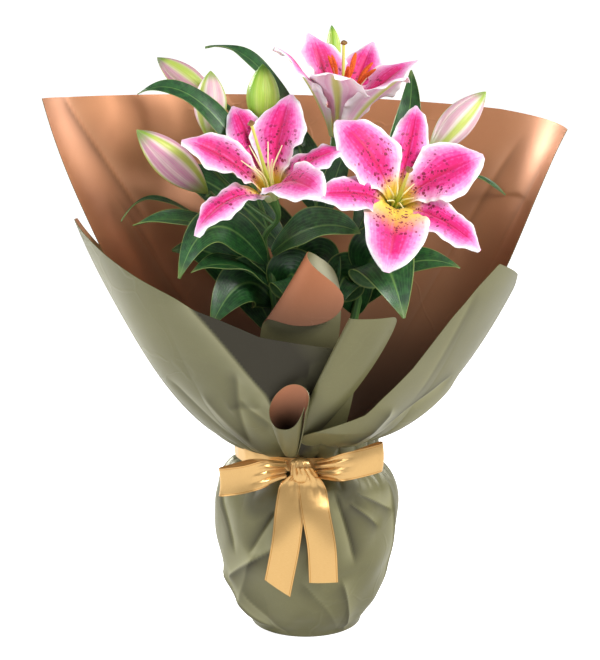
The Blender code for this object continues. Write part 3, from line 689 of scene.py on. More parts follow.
@dataclass(frozen=True)
class StyleSkin(Finish):
    """Skin of a style or filament: one colour at its foot, another at its tip."""

    name: str = "style_skin"
    roughness: float = 0.42
    specular: float = 0.4
    foot: Colour = linear(178, 200, 78)
    tip: Colour = linear(222, 216, 110)

    def dress(self, graph: Graph, sockets: Sockets) -> None:
        """A slow change along the piece with fine streaks."""
        share = graph.spread("share")
        along = graph.split(share)["Y"]
        veins = Veins().use(graph, share=share, count=6.0, waver=0.3)
        mixed = graph.plus(along, graph.times(graph.less(veins["Streak"], 0.5), 0.4))
        colour = graph.mix(graph.step(mixed, 0.1, 0.9), self.foot, self.tip)
        graph.paint(sockets, colour, graph.noise(graph.place(), 900.0), 0.2, 0.0002)


@dataclass(frozen=True)
class Grainy(Finish):
    """A finish of fine grains in two tones, as pollen, soil, perlite and bulb scales have."""

    name: str = "grainy"
    roughness: float = 0.8
    light: Colour = linear(232, 104, 28)
    dark: Colour = linear(176, 62, 14)
    scale: float = 900.0
    depth: float = 0.0005

    def dress(self, graph: Graph, sockets: Sockets) -> None:
        """Noise at the size of the grains for both colour and relief."""
        place = graph.place()
        toned = Mottle().use(graph, place=place, colour=self.light, shade=self.dark, scale=self.scale, amount=1.0)
        height = graph.plus(graph.noise(place, self.scale, 4.0, 0.7), graph.noise(place, self.scale * 0.3))
        graph.paint(sockets, toned["Colour"], height, 0.8, self.depth)


@dataclass(frozen=True)
class PotPlastic(Finish):
    """Thin moulded plastic of a nursery pot: dark, slightly scuffed."""

    name: str = "moulded_plastic"
    roughness: float = 0.45
    body: Colour = linear(38, 40, 42)
    scuffed: Colour = linear(72, 72, 72)

    def dress(self, graph: Graph, sockets: Sockets) -> None:
        """Scuffs and a fine moulded grain."""
        place = graph.place()
        toned = Mottle().use(graph, place=place, colour=self.body, shade=self.scuffed, scale=60.0, amount=0.5)
        graph.feed(sockets["Roughness"], graph.plus(graph.times(toned["Mask"], 0.2), 0.38))
        graph.paint(sockets, toned["Colour"], graph.noise(place, 1400.0, 2.0), 0.3, 0.0003)


@dataclass(frozen=True)
class WrapPaper(Finish):
    """One face of the wrapping paper: a satin film over fine fibres, with handling marks, painted highlight and
    painted shade along its folds, painted shade lower down and painted shadow pockets.
    """

    name: str = "wrap_paper"
    roughness: float = 0.40
    metallic: float = 0.15
    specular: float = 0.5
    body: Colour = linear(108, 105, 69)
    shade: Colour = linear(88, 86, 57)
    # Pale tone of fibres and handling wear, also used as a painted highlight on crinkle ridges.
    pale_wear_and_highlight: Colour = linear(150, 147, 108)
    marks: float = 0.32
    # Colour of the painted highlight on the light side of folds.
    painted_highlight: Colour = linear(176, 173, 132)
    # Colour of the painted shade.
    dark: Colour = (0.016, 0.012, 0.006, 1.0)
    # Painted shade by height: full below the first height, none above the second, its strength one less the third;
    # the default paints none.
    deep: Triple = (0.0, 0.0, 1.0)
    # Painted shadow pockets: centre x, y, z, reach and strength of each round patch of painted shade.
    painted_shadow_pockets: tuple[tuple[float, float, float, float, float], ...] = ()

    def dress(self, graph: Graph, sockets: Sockets) -> None:
        """Soft tone changes, crinkle lines lightened as a painted highlight, fibres, painted highlight and painted
        shade along folds, painted shade by height and in pockets.
        """
        place = graph.place()
        toned = Mottle().use(graph, place=place, colour=self.body, shade=self.shade, scale=7.0, amount=0.5)["Colour"]
        crinkle = Crinkle().use(graph, place=place, scale=16.0, sharp=0.035)
        fibres = Fibres().use(graph, place=place, scale=1100.0)["Height"]
        # Crinkle ridges lifted a little toward the pale tone as a painted highlight.
        colour = graph.tint(toned, crinkle["Mask"], 0.06, self.pale_wear_and_highlight)
        # Painted highlight: the tone map's light side of each fold lifts the colour.
        fold = graph.split(graph.spread("tone"))["X"]
        colour = graph.tint(colour, fold, 0.9, self.painted_highlight, True)
        colour = graph.tint(colour, graph.step(fibres, 0.5, 0.75), 0.12, self.pale_wear_and_highlight)
        # Painted shade: darker towards the bottom, on the shaded side of folds and round each pocket, mixed toward
        # the dark colour.
        low, high, least = self.deep
        shade = graph.fall(graph.split(place)["Z"], low, high)
        shade = graph.times(shade, 1.0 - least)
        shade = graph.sum("MAXIMUM", shade, graph.times(fold, -0.85))
        for x, y, z, reach, amount in self.painted_shadow_pockets:
            away = graph.node("ShaderNodeVectorMath", {0: place, 1: (x, y, z)}, operation="DISTANCE")
            near = graph.fall(away.outputs["Value"], reach * 0.3, reach)
            shade = graph.sum("MAXIMUM", shade, graph.times(near, amount))
        colour = graph.mix(shade, colour, self.dark)
        rough = graph.plus(graph.times(fibres, 0.10), self.roughness - 0.05)
        rough = graph.plus(rough, graph.times(shade, 0.35), clamp=True)
        graph.feed(sockets["Roughness"], rough)
        height = graph.plus(crinkle["Height"], graph.times(fibres, 0.03))
        graph.paint(sockets, colour, height, self.marks, 0.0025)


@dataclass(frozen=True)
class Satin(Finish):
    """Gold satin ribbon: bright slanted floats, a soft streak of painted sheen and two woven selvages."""

    name: str = "gold_satin"
    roughness: float = 0.30
    metallic: float = 0.72
    specular: float = 0.5
    anisotropic: float = 0.3
    body: Colour = linear(198, 156, 96)
    painted_sheen: Colour = linear(222, 188, 130)
    selvage: Colour = linear(176, 120, 54)

    def dress(self, graph: Graph, sockets: Sockets) -> None:
        """Weave read from the ribbon's own length and width."""
        share = graph.spread("share")
        metric = graph.spread("metric")
        weave = SatinWeave().use(graph, place=metric, threads=150.0)
        across = graph.split(share)["X"]
        side = graph.off_middle(across)
        # Painted sheen: a soft lengthways streak lifts the gold toward a lighter tone.
        colour = graph.tint(self.body, weave["Streak"], 0.6, self.painted_sheen)
        line = graph.window(side, (0.86, 0.885), (0.91, 0.935))
        rim = graph.step(side, 0.965, 0.99)
        edge = graph.sum("MAXIMUM", line, rim)
        colour = graph.tint(colour, edge, 0.75, self.selvage)
        height = graph.plus(graph.times(weave["Height"], 0.3), graph.times(line, -1.2))
        graph.paint(sockets, colour, height, 0.12, 0.0002)


@dataclass(frozen=True)
class Backdrop(Finish):
    """Plain pale studio paper."""

    name: str = "studio_floor"
    roughness: float = 0.9
    specular: float = 0.1
    tone: Colour = (0.93, 0.93, 0.93, 1.0)
    warm: Colour = (0.90, 0.90, 0.89, 1.0)

    def dress(self, graph: Graph, sockets: Sockets) -> None:
        """Barely uneven white."""
        toned = Mottle().use(graph, place=graph.place(), colour=self.tone, shade=self.warm, scale=2.0, amount=0.3)
        graph.feed(sockets["Base Color"], toned["Colour"])
        sockets["Emission Color"].default_value = WHITE
        seen = graph.node("ShaderNodeLightPath").outputs["Is Camera Ray"]
        graph.feed(sockets["Emission Strength"], graph.times(seen, 0.8))


TEPAL_FACE = TepalFace()
TEPAL_FACE_GOLD = TepalFace(name="tepal_face_gold", throat_edge=(0.30, 0.66))
TEPAL_BACK = TepalBack()
LEAF_FACE = LeafFace()
LEAF_BACK = LeafFace(
    name="leaf_back",
    roughness=0.5,
    coat=0.0,
    deep=linear(58, 100, 56),
    fresh=linear(84, 128, 72),
    vein=linear(112, 150, 92),
)
STEM_SKIN = StemSkin()
PISTIL_SKIN = StyleSkin()
STIGMA_SKIN = StyleSkin(name="stigma_skin", foot=linear(150, 120, 60), tip=linear(120, 84, 50), roughness=0.3)
FILAMENT_SKIN = StyleSkin(name="filament_skin", foot=linear(214, 222, 130), tip=linear(248, 240, 190))
ANTHER = Grainy(name="anther_rust", light=linear(236, 108, 30), dark=linear(196, 66, 14), scale=700.0, depth=0.0004)
POLLEN = Grainy(name="pollen", light=linear(240, 128, 40), dark=linear(214, 84, 20), scale=2000.0, depth=0.0001)
PAPILLA = StyleSkin(name="papilla", foot=linear(172, 16, 82), tip=linear(150, 10, 66))
SOIL = Grainy(name="potting_mix", light=linear(66, 46, 32), dark=linear(30, 21, 15), scale=260.0, depth=0.002)
PERLITE = Grainy(name="perlite", light=linear(222, 218, 206), dark=linear(186, 180, 166), scale=900.0)
BULB_SKIN = Grainy(
    name="bulb_scales", light=linear(222, 204, 156), dark=linear(176, 140, 92), scale=90.0, depth=0.001
)
POT_PLASTIC = PotPlastic()
OLIVE = WrapPaper(name="olive_paper")
# The copper face has its own painted highlight and painted shade below 0.47 m.
COPPER = WrapPaper(
    name="copper_paper",
    roughness=0.36,
    metallic=0.35,
    body=linear(198, 138, 98),
    shade=linear(172, 114, 80),
    pale_wear_and_highlight=linear(216, 164, 126),
    marks=0.25,
    painted_highlight=linear(236, 190, 156),
    deep=(0.20, 0.47, 0.10),
)
# Darker copies of the copper face, with the olive's painted highlight and their own painted shade by height.
CURL_COPPER = replace(
    COPPER,
    name="curl_copper_paper",
    body=linear(178, 112, 76),
    shade=linear(152, 92, 62),
    pale_wear_and_highlight=linear(200, 140, 104),
    painted_highlight=OLIVE.painted_highlight,
    deep=(0.225, 0.300, 0.08),
)
FLAP_COPPER = replace(
    COPPER,
    name="flap_copper_paper",
    body=linear(182, 116, 80),
    shade=linear(158, 96, 64),
    pale_wear_and_highlight=linear(206, 150, 112),
    painted_highlight=OLIVE.painted_highlight,
    deep=(0.322, 0.396, 0.22),
)
# Olive copies that differ only by painted shade: round painted shadow pockets or painted shade by height.
LEFT_OLIVE = replace(
    OLIVE,
    name="left_olive_paper",
    painted_shadow_pockets=((0.004, -0.120, 0.280, 0.050, 0.75), (-0.07, -0.08, 0.2, 0.04, 0.4)),
)
INNER_OLIVE = replace(OLIVE, name="inner_olive_paper", deep=(0.25, 0.372, 0.10))
ROLL_OLIVE = replace(OLIVE, name="roll_olive_paper", painted_shadow_pockets=((0.034, -0.110, 0.222, 0.050, 0.75),))
COVER_OLIVE = replace(
    OLIVE,
    name="cover_olive_paper",
    painted_shadow_pockets=(
        (-0.045, -0.075, 0.150, 0.030, 0.55),
        (0.050, -0.075, 0.156, 0.030, 0.55),
        (0.0, -0.09, 0.13, 0.034, 0.6),
    ),
)
SATIN = Satin()
BACKDROP = Backdrop()


# ---------------------------------------------------------------- meshes


def settle(
    name: str,
    mesh: Mesh,
    finishes: Sequence[Finish],
    nodes: Sequence[str] = (),
) -> bpy.types.Object:
    """Adds a mesh as a piece of the potted lily and reports it.

    Args:
        name: Name of the piece.
        mesh: Its mesh, in the frame's metres.
        finishes: One finish for each material slot.
        nodes: Names of the nodes that the piece stands for.

    Returns:
        The new object.
    """
    mesh.name = name
    for number, finish in enumerate(finishes):
        if number < len(mesh.materials):
            mesh.materials[number] = finish.material()
        else:
            mesh.materials.append(finish.material())
    piece = link(name, mesh)
    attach(piece, "root")
    if nodes:
        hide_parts(*nodes)
    LOG.info("%s: %d faces", name, len(mesh.polygons))
    return piece


def mesh_of(
    points: Array,
    faces: Sequence[Sequence[int]],
    layers: dict[str, Array],
    slots: Sequence[int] | None = None,
    sharp: float = 50.0,
) -> Mesh:
    """A smooth-shaded mesh with UV maps.

    Args:
        points: Vertices (n, 3).
        faces: Vertex indices of each face.
        layers: For each UV map, one (u, v) for each face corner in turn.
        slots: Material slot of each face.
        sharp: Angle in degrees past which an edge stays sharp.

    Returns:
        The mesh.
    """
    mesh = bpy.data.meshes.new("shape")
    mesh.from_pydata(points.tolist(), [], faces)
    for name, corners in layers.items():
        layer = mesh.uv_layers.new(name=name)
        layer.data.foreach_set("uv", np.asarray(corners, np.float32).ravel())
    if slots is not None:
        mesh.polygons.foreach_set("material_index", np.asarray(slots, np.int32))
    mesh.shade_smooth()
    mesh.set_sharp_from_angle(angle=math.radians(sharp))
    mesh.update()
    return mesh


@dataclass
class Surface:
    """A grid of points: rows run along a piece, columns across it. Its normal is across x along."""

    points: Array
    across: Array
    along: Array
    closed: bool = False
    # Painted light (up to 1) and painted shade (down to -1) at each point, carried in the tone UV map.
    tone: Array | None = None

    def __post_init__(self) -> None:
        """Spreads shares that are given for rows or columns alone over the whole grid."""
        shape = self.points.shape[:2]
        self.across = np.broadcast_to(self.across, shape)
        self.along = np.broadcast_to(self.along, shape)

    def normals(self) -> Array:
        """Unit normal at each point."""
        points = self.points
        if self.closed:
            over = np.roll(points, -1, 1) - np.roll(points, 1, 1)
        else:
            over = np.gradient(points, axis=1)
        up = np.gradient(points, axis=0)
        square = np.cross(over, up)
        return square / np.maximum(np.linalg.norm(square, axis=2, keepdims=True), 1e-12)

    def raised(self, height: Array) -> "Surface":
        """The surface moved along its normals."""
        return replace(self, points=self.points + self.normals() * height[..., None])

    def moved(self, shift: Array) -> "Surface":
        """The surface moved as a whole."""
        return replace(self, points=self.points + shift)

    def sizes(self) -> Array:
        """True distances across from the middle and along from the first row, in tenths of a metre."""
        points = np.concatenate([self.points, self.points[:, :1]], 1) if self.closed else self.points
        over = np.linalg.norm(np.diff(points, axis=1), axis=2)
        over = np.concatenate([np.zeros((len(over), 1)), np.cumsum(over, 1)], 1)
        over -= over[:, -1:] / 2
        up = np.linalg.norm(np.diff(points, axis=0), axis=2).mean(1)
        up = np.concatenate([[0.0], np.cumsum(up)])
        return np.stack([over * 10, np.broadcast_to(up[:, None], over.shape) * 10], 2)

    def quads(self) -> tuple[Array, Array, Array]:
        """Faces, and the row and column of each face's corners."""
        rows, columns = self.across.shape
        wide = columns if self.closed else columns - 1
        i, j = np.meshgrid(np.arange(rows - 1), np.arange(wide), indexing="ij")
        row = np.stack([i, i, i + 1, i + 1], 2).reshape(-1, 4)
        column = np.stack([j, j + 1, j + 1, j], 2).reshape(-1, 4)
        return row * columns + column % columns, row, column

    def layers(self, row: Array, column: Array) -> dict[str, Array]:
        """UV maps for face corners at given rows and columns."""

        def spread(first: Array, second: Array) -> Array:
            """Two values as one (u, v) for each corner."""
            return np.stack([first, second], 2)[row, column].reshape(-1, 2)

        across, along, tone = self.across, self.along, self.tone
        if self.closed:
            across = np.concatenate([across, np.ones((len(across), 1))], 1)
            along = np.concatenate([along, along[:, :1]], 1)
            tone = None if tone is None else np.concatenate([tone, tone[:, :1]], 1)
        made = {"share": spread(across, along), "metric": self.sizes()[row, column].reshape(-1, 2)}
        if tone is not None:
            made["tone"] = spread(tone, tone)
        return made

    def skin(self, flip: bool = False) -> Mesh:
        """The grid as an open mesh, its other side out where flip is set."""
        faces, row, column = (grid[:, ::-1] if flip else grid for grid in self.quads())
        return mesh_of(self.points.reshape(-1, 3), faces.tolist(), self.layers(row, column))

    def shell(self, thickness: Array | float, sharp: float = 50.0) -> Mesh:
        """A closed thin body round the surface.

        Args:
            thickness: One thickness, or one for each point.
            sharp: Angle in degrees past which an edge stays sharp.

        Returns:
            A mesh whose slot 0 is the side that the normals point to, and slot 1 the other.
        """
        rows, columns = self.across.shape
        count = rows * columns
        half = np.broadcast_to(np.asarray(thickness, float) / 2, self.across.shape)
        normals = self.normals()
        upper = (self.points + normals * half[..., None]).reshape(-1, 3)
        under = (self.points - normals * half[..., None]).reshape(-1, 3)
        faces, row, column = self.quads()
        last = rows - 1
        rims = []
        for j in range(columns if self.closed else columns - 1):
            rims += [((0, j + 1), (0, j)), ((last, j), (last, j + 1))]
        if not self.closed:
            for i in range(last):
                rims += [((i, 0), (i + 1, 0)), ((i + 1, columns - 1), (i, columns - 1))]
        (row_a, column_a), (row_b, column_b) = np.array(rims).transpose(1, 2, 0)
        first = row_a * columns + column_a % columns
        second = row_b * columns + column_b % columns
        band = np.stack([first, second, second + count, first + count], 1)
        rim_row = np.stack([row_a, row_b, row_b, row_a], 1)
        rim_column = np.stack([column_a, column_b, column_b, column_a], 1)
        all_faces = np.concatenate([faces, faces[:, ::-1] + count, band])
        all_rows = np.concatenate([row, row[:, ::-1], rim_row])
        all_columns = np.concatenate([column, column[:, ::-1], rim_column])
        slots = np.concatenate([np.zeros(len(faces)), np.ones(len(faces)), np.zeros(len(band))])
        points = np.concatenate([upper, under])
        return mesh_of(points, all_faces.tolist(), self.layers(all_rows, all_columns), slots, sharp)

    def capped(self, foot: Array, tip: Array, sharp: float = 60.0) -> Mesh:
        """A closed solid from rings, with a pole at each end.

        Args:
            foot: Point that closes the first ring.
            tip: Point that closes the last ring.
            sharp: Angle in degrees past which an edge stays sharp.

        Returns:
            The mesh.
        """
        rows, columns = self.across.shape
        faces, row, column = self.quads()
        layers = self.layers(row, column)
        j = np.arange(columns)
        after = (j + 1) % columns
        last = (rows - 1) * columns
        pole = np.full(columns, rows * columns)
        fans = np.stack([pole, after, j, pole + 1, last + j, last + after], 1).reshape(-1, 3)
        rims = []
        for end, first in ((0, 1), (rows - 1, 0)):
            rims.append(self.layers(np.full((columns, 2), end), np.stack([j + first, j + 1 - first], 1)))
        for name, values in layers.items():
            pairs = np.stack([rim[name].reshape(columns, 2, 2) for rim in rims], 1)
            pairs = np.concatenate([pairs.mean(2, keepdims=True), pairs], 2)
            layers[name] = np.concatenate([values, pairs.reshape(-1, 2)])
        points = np.concatenate([self.points.reshape(-1, 3), [foot, tip]])
        return mesh_of(points, faces.tolist() + fans.tolist(), layers, None, sharp)


def rod(route: Array, radii: Sequence[float], stations: int, sides: int) -> Surface:
    """Rings round a smooth route.

    Args:
        route: Points (n, 3) that the route passes through.
        radii: Radii spread evenly along it.
        stations: Number of rings.
        sides: Points in each ring.

    Returns:
        The closed surface.
    """
    shares = np.linspace(0, 1, stations)
    centre = spline(route, shares)
    radius = np.interp(shares, np.linspace(0, 1, len(radii)), radii)
    heading = np.gradient(centre, axis=0)
    heading /= np.linalg.norm(heading, axis=1, keepdims=True)
    side = np.zeros_like(centre)
    guide = np.array((1.0, 0.0, 0.0)) if abs(heading[0][0]) < 0.9 else np.array((0.0, 1.0, 0.0))
    for i, forward in enumerate(heading):
        guide = guide - forward * float(guide @ forward)
        guide = guide / np.linalg.norm(guide)
        side[i] = guide
    other = np.cross(heading, side)
    turn = around(sides) * math.tau
    ring = side[:, None] * np.cos(turn)[None, :, None] + other[:, None] * np.sin(turn)[None, :, None]
    points = centre[:, None] + ring * radius[:, None, None]
    return Surface(points, around(sides), shares[:, None], True)


def points_of(mesh: Mesh) -> Array:
    """A mesh's vertices as rows."""
    values = np.empty(len(mesh.vertices) * 3)
    mesh.vertices.foreach_get("co", values)
    return values.reshape(-1, 3)


def maps_of(mesh: Mesh) -> dict[str, Array]:
    """A mesh's UV maps, with one row for each face corner."""
    made = {}
    for layer in mesh.uv_layers:
        values = np.empty(len(mesh.loops) * 2, np.float32)
        layer.data.foreach_get("uv", values)
        made[layer.name] = values.reshape(-1, 2)
    return made


def joined(meshes: Sequence[Mesh], slots: Sequence[int] | None = None) -> Mesh:
    """Several meshes as one.

    Args:
        meshes: Meshes with the same UV maps; they are removed.
        slots: Material slot of each mesh's faces; each keeps its own where this is missing.

    Returns:
        The one mesh.
    """
    points = []
    faces = []
    layers: dict[str, list[Array]] = {}
    materials = []
    count = 0
    for k, mesh in enumerate(meshes):
        points.append(points_of(mesh))
        faces += [[v + count for v in polygon.vertices] for polygon in mesh.polygons]
        count += len(mesh.vertices)
        for name, values in maps_of(mesh).items():
            layers.setdefault(name, []).append(values)
        own = np.empty(len(mesh.polygons), np.int32)
        mesh.polygons.foreach_get("material_index", own)
        materials.append(own if slots is None else np.full(len(mesh.polygons), slots[k]))
    merged = {name: np.concatenate(values) for name, values in layers.items()}
    whole = mesh_of(np.concatenate(points), faces, merged, np.concatenate(materials))
    for mesh in meshes:
        bpy.data.meshes.remove(mesh)
    return whole


# ---------------------------------------------------------------- scattered grains


class Grain(Enum):
    """Shapes that a scatter can place."""

    PEBBLE = "pebble"
    DOME = "dome"


@dataclass(frozen=True)
class Scatter:
    """Grains strewn over a surface by a Geometry Nodes tree."""

    name: str
    grain: Grain
    density: float
    smallest: float
    largest: float
    flatness: float = 0.7
    seed: int = 3

    def tree(self, finish: Finish) -> bpy.types.NodeTree:
        """The tree: points on faces, a turned and scaled grain on each, made real and dressed.

        Args:
            finish: Finish of the grains.

        Returns:
            The new tree.
        """
        tree = bpy.data.node_groups.new("scatter_" + self.name, "GeometryNodeTree")
        tree.interface.new_socket(name="Geometry", in_out="INPUT", socket_type="NodeSocketGeometry")
        for name in ("Density", "Smallest", "Largest", "Flatness", "Seed"):
            kind = "NodeSocketInt" if name == "Seed" else NUMBER
            tree.interface.new_socket(name=name, in_out="INPUT", socket_type=kind)
        tree.interface.new_socket(name="Geometry", in_out="OUTPUT", socket_type="NodeSocketGeometry")
        graph = Graph(tree)
        start = graph.node("NodeGroupInput").outputs
        feeds = {"Mesh": start["Geometry"], "Density": start["Density"], "Seed": start["Seed"]}
        strew = graph.node("GeometryNodeDistributePointsOnFaces", feeds, distribute_method="RANDOM")
        pebble = self.grain is Grain.PEBBLE
        ball = graph.node("GeometryNodeMeshIcoSphere", {"Radius": 1.0, "Subdivisions": 1 if pebble else 2})
        squash = graph.join(1.0, 1.0, start["Flatness"])
        flat = graph.node("GeometryNodeTransform", {"Geometry": ball.outputs["Mesh"], "Scale": squash})
        turned = (3.0, 3.0, 6.2) if pebble else (0.0, 0.0, 6.2)
        feeds = {"Min": (0.0, 0.0, 0.0), "Max": turned, "Seed": start["Seed"]}
        spin = graph.node("FunctionNodeRandomValue", feeds, data_type="FLOAT_VECTOR")
        feeds = {2: start["Smallest"], 3: start["Largest"], "Seed": start["Seed"]}
        size = graph.node("FunctionNodeRandomValue", feeds, data_type="FLOAT")
        feeds = {0: strew.outputs["Rotation"], 1: spin.outputs[0]}
        align = graph.node("FunctionNodeRotateRotation", feeds, rotation_space="LOCAL")
        feeds = {
            "Points": strew.outputs["Points"],
            "Instance": flat.outputs[0],
            "Rotation": align.outputs[0],
            "Scale": size.outputs[1],
        }
        copies = graph.node("GeometryNodeInstanceOnPoints", feeds)
        real = graph.node("GeometryNodeRealizeInstances", {0: copies.outputs[0]})
        smooth = graph.node("GeometryNodeSetShadeSmooth", {0: real.outputs[0]})
        feeds = {"Geometry": smooth.outputs[0], "Material": finish.material()}
        dressed = graph.node("GeometryNodeSetMaterial", feeds)
        graph.node("NodeGroupOutput", {"Geometry": dressed.outputs[0]})
        return tree

    def strewn(self, ground: Mesh, finish: Finish) -> Mesh:
        """The grains over a ground, as one plain mesh.

        Args:
            ground: Surface to strew; it is removed.
            finish: Finish of the grains.

        Returns:
            The grains' mesh.
        """
        bed = link("bed_" + self.name, ground)
        modifier = bed.modifiers.new("scatter", "NODES")
        modifier.node_group = self.tree(finish)
        values = {
            "Density": self.density,
            "Smallest": self.smallest,
            "Largest": self.largest,
            "Flatness": self.flatness,
            "Seed": self.seed,
        }
        for item in modifier.node_group.interface.items_tree:
            if item.in_out == "INPUT" and item.name in values:
                modifier[item.identifier] = values[item.name]
        graph = bpy.context.evaluated_depsgraph_get()
        mesh = bpy.data.meshes.new_from_object(bed.evaluated_get(graph))
        bed.modifiers.remove(modifier)
        bpy.data.objects.remove(bed, do_unlink=True)
        bpy.data.meshes.remove(ground)
        for name in ("share", "metric"):
            if name not in mesh.uv_layers:
                mesh.uv_layers.new(name=name)
        return mesh


# ---------------------------------------------------------------- flowers


@dataclass(frozen=True)
class Tepal:
    """One petal or sepal: its turn and opening in degrees, its length in metres."""

    node: str
    turn: float
    opened: float
    length: float
    inner: bool
    broad: float = 1.0
    hook: float = 16.0
    ruffle: float = 0.0030
    waves: float = 2.8
    phase: float = 0.0
    face: TepalFace = TEPAL_FACE

    @property
    def ring(self) -> float:
        """Radius of the circle that it grows from."""
        return 0.0054 if self.inner else 0.0072

    def plain(self, base: Array, axis: Array, rows: int, columns: int, fine: bool) -> Surface:
        """The surface without relief.

        Args:
            base: Foot of the flower.
            axis: Unit direction of the flower.
            rows: Points along.
            columns: Points across.
            fine: Whether to give it the full width and the hooked tip.

        Returns:
            The surface; its normals point to the inner face.
        """
        steps = 160
        places = (np.arange(steps) + 0.5) / steps
        lean = np.radians(blend(13.0 if self.inner else 21.0, self.opened, places**0.85))
        if fine:
            lean = lean + np.radians(self.hook) * ease(0.80, 1.0, places)
        radius = self.ring + np.concatenate([[0.0], np.cumsum(np.sin(lean))]) * self.length / steps
        height = 0.0008 + np.concatenate([[0.0], np.cumsum(np.cos(lean))]) * self.length / steps
        share = np.linspace(0, 1, rows)
        radius = np.interp(share * steps, np.arange(steps + 1), radius)
        height = np.interp(share * steps, np.arange(steps + 1), height)
        width = 0.049 if self.inner else 0.035
        if fine:
            width = (0.057 if self.inner else 0.042) * self.broad
            full = np.sin(math.pi * np.minimum(share, 0.992) ** 0.96) ** (0.62 if self.inner else 0.68)
        else:
            full = np.sin(math.pi * np.minimum(share, 0.985) ** 0.85) ** 0.75
        half = blend(0.0066, 0.0022 if fine else 0.0035, share) / 2 + (width - 0.0066) / 2 * full
        half = np.minimum(half, radius * 0.8)
        first, second = square_axes(axis)
        across = np.linspace(1, -1, columns)
        spin = math.radians(self.turn) + half[:, None] * across / np.maximum(radius, self.ring)[:, None]
        outward = first * np.cos(spin)[..., None] + second * np.sin(spin)[..., None]
        points = base + outward * radius[:, None, None] + axis * height[:, None, None]
        return Surface(points, (1 - across) / 2, share[:, None])

    def surface(self, base: Array, axis: Array) -> Surface:
        """The surface with its channel, its puffed sides and its wavy margins."""
        plain = self.plain(base, axis, 64, 29, True)
        side = plain.across * 2 - 1
        share = plain.along
        body = ease(0.10, 0.30, share) * (1 - ease(0.78, 1.0, share))
        channel = -0.0016 * np.exp(-((side / 0.11) ** 2)) * body
        puff = 0.0012 * np.exp(-(((np.abs(side) - 0.42) / 0.24) ** 2)) * body
        rise = ease(0.16, 0.40, share) * (1 - 0.55 * ease(0.88, 1.0, share))
        turn = math.tau * (self.waves * share + self.phase + 0.23 * np.sign(side))
        wave = self.ruffle * np.abs(side) ** 2.4 * np.sin(turn) * rise
        fine = 0.35 * self.ruffle * np.abs(side) ** 4 * np.sin(2.7 * turn + 1.1) * rise
        curl = -0.0034 * np.abs(side) ** 3 * ease(0.30, 0.75, share)
        return plain.raised(channel + puff + wave + fine + curl)

    def build(self, base: Array, axis: Array) -> Surface:
        """Builds and dresses the tepal.

        Args:
            base: Foot of the flower.
            axis: Unit direction of the flower.

        Returns:
            Its inner surface where the papillae stand.
        """
        shift = seat(self.node, self.plain(base, axis, 9, 5, False).points)
        surface = self.surface(base, axis).moved(shift)
        side = np.abs(surface.across * 2 - 1)
        thick = blend(0.0012, 0.00045, ease(0.3, 1.0, side)) * blend(1.0, 0.6, surface.along)
        mesh = surface.shell(thick)
        settle("bloom_" + self.node, mesh, (self.face, TEPAL_BACK), (self.node,))
        inner = surface.raised(thick / 2).points
        patch = (slice(9, 37), slice(6, 23))
        return Surface(inner[patch], surface.across[patch], surface.along[patch])


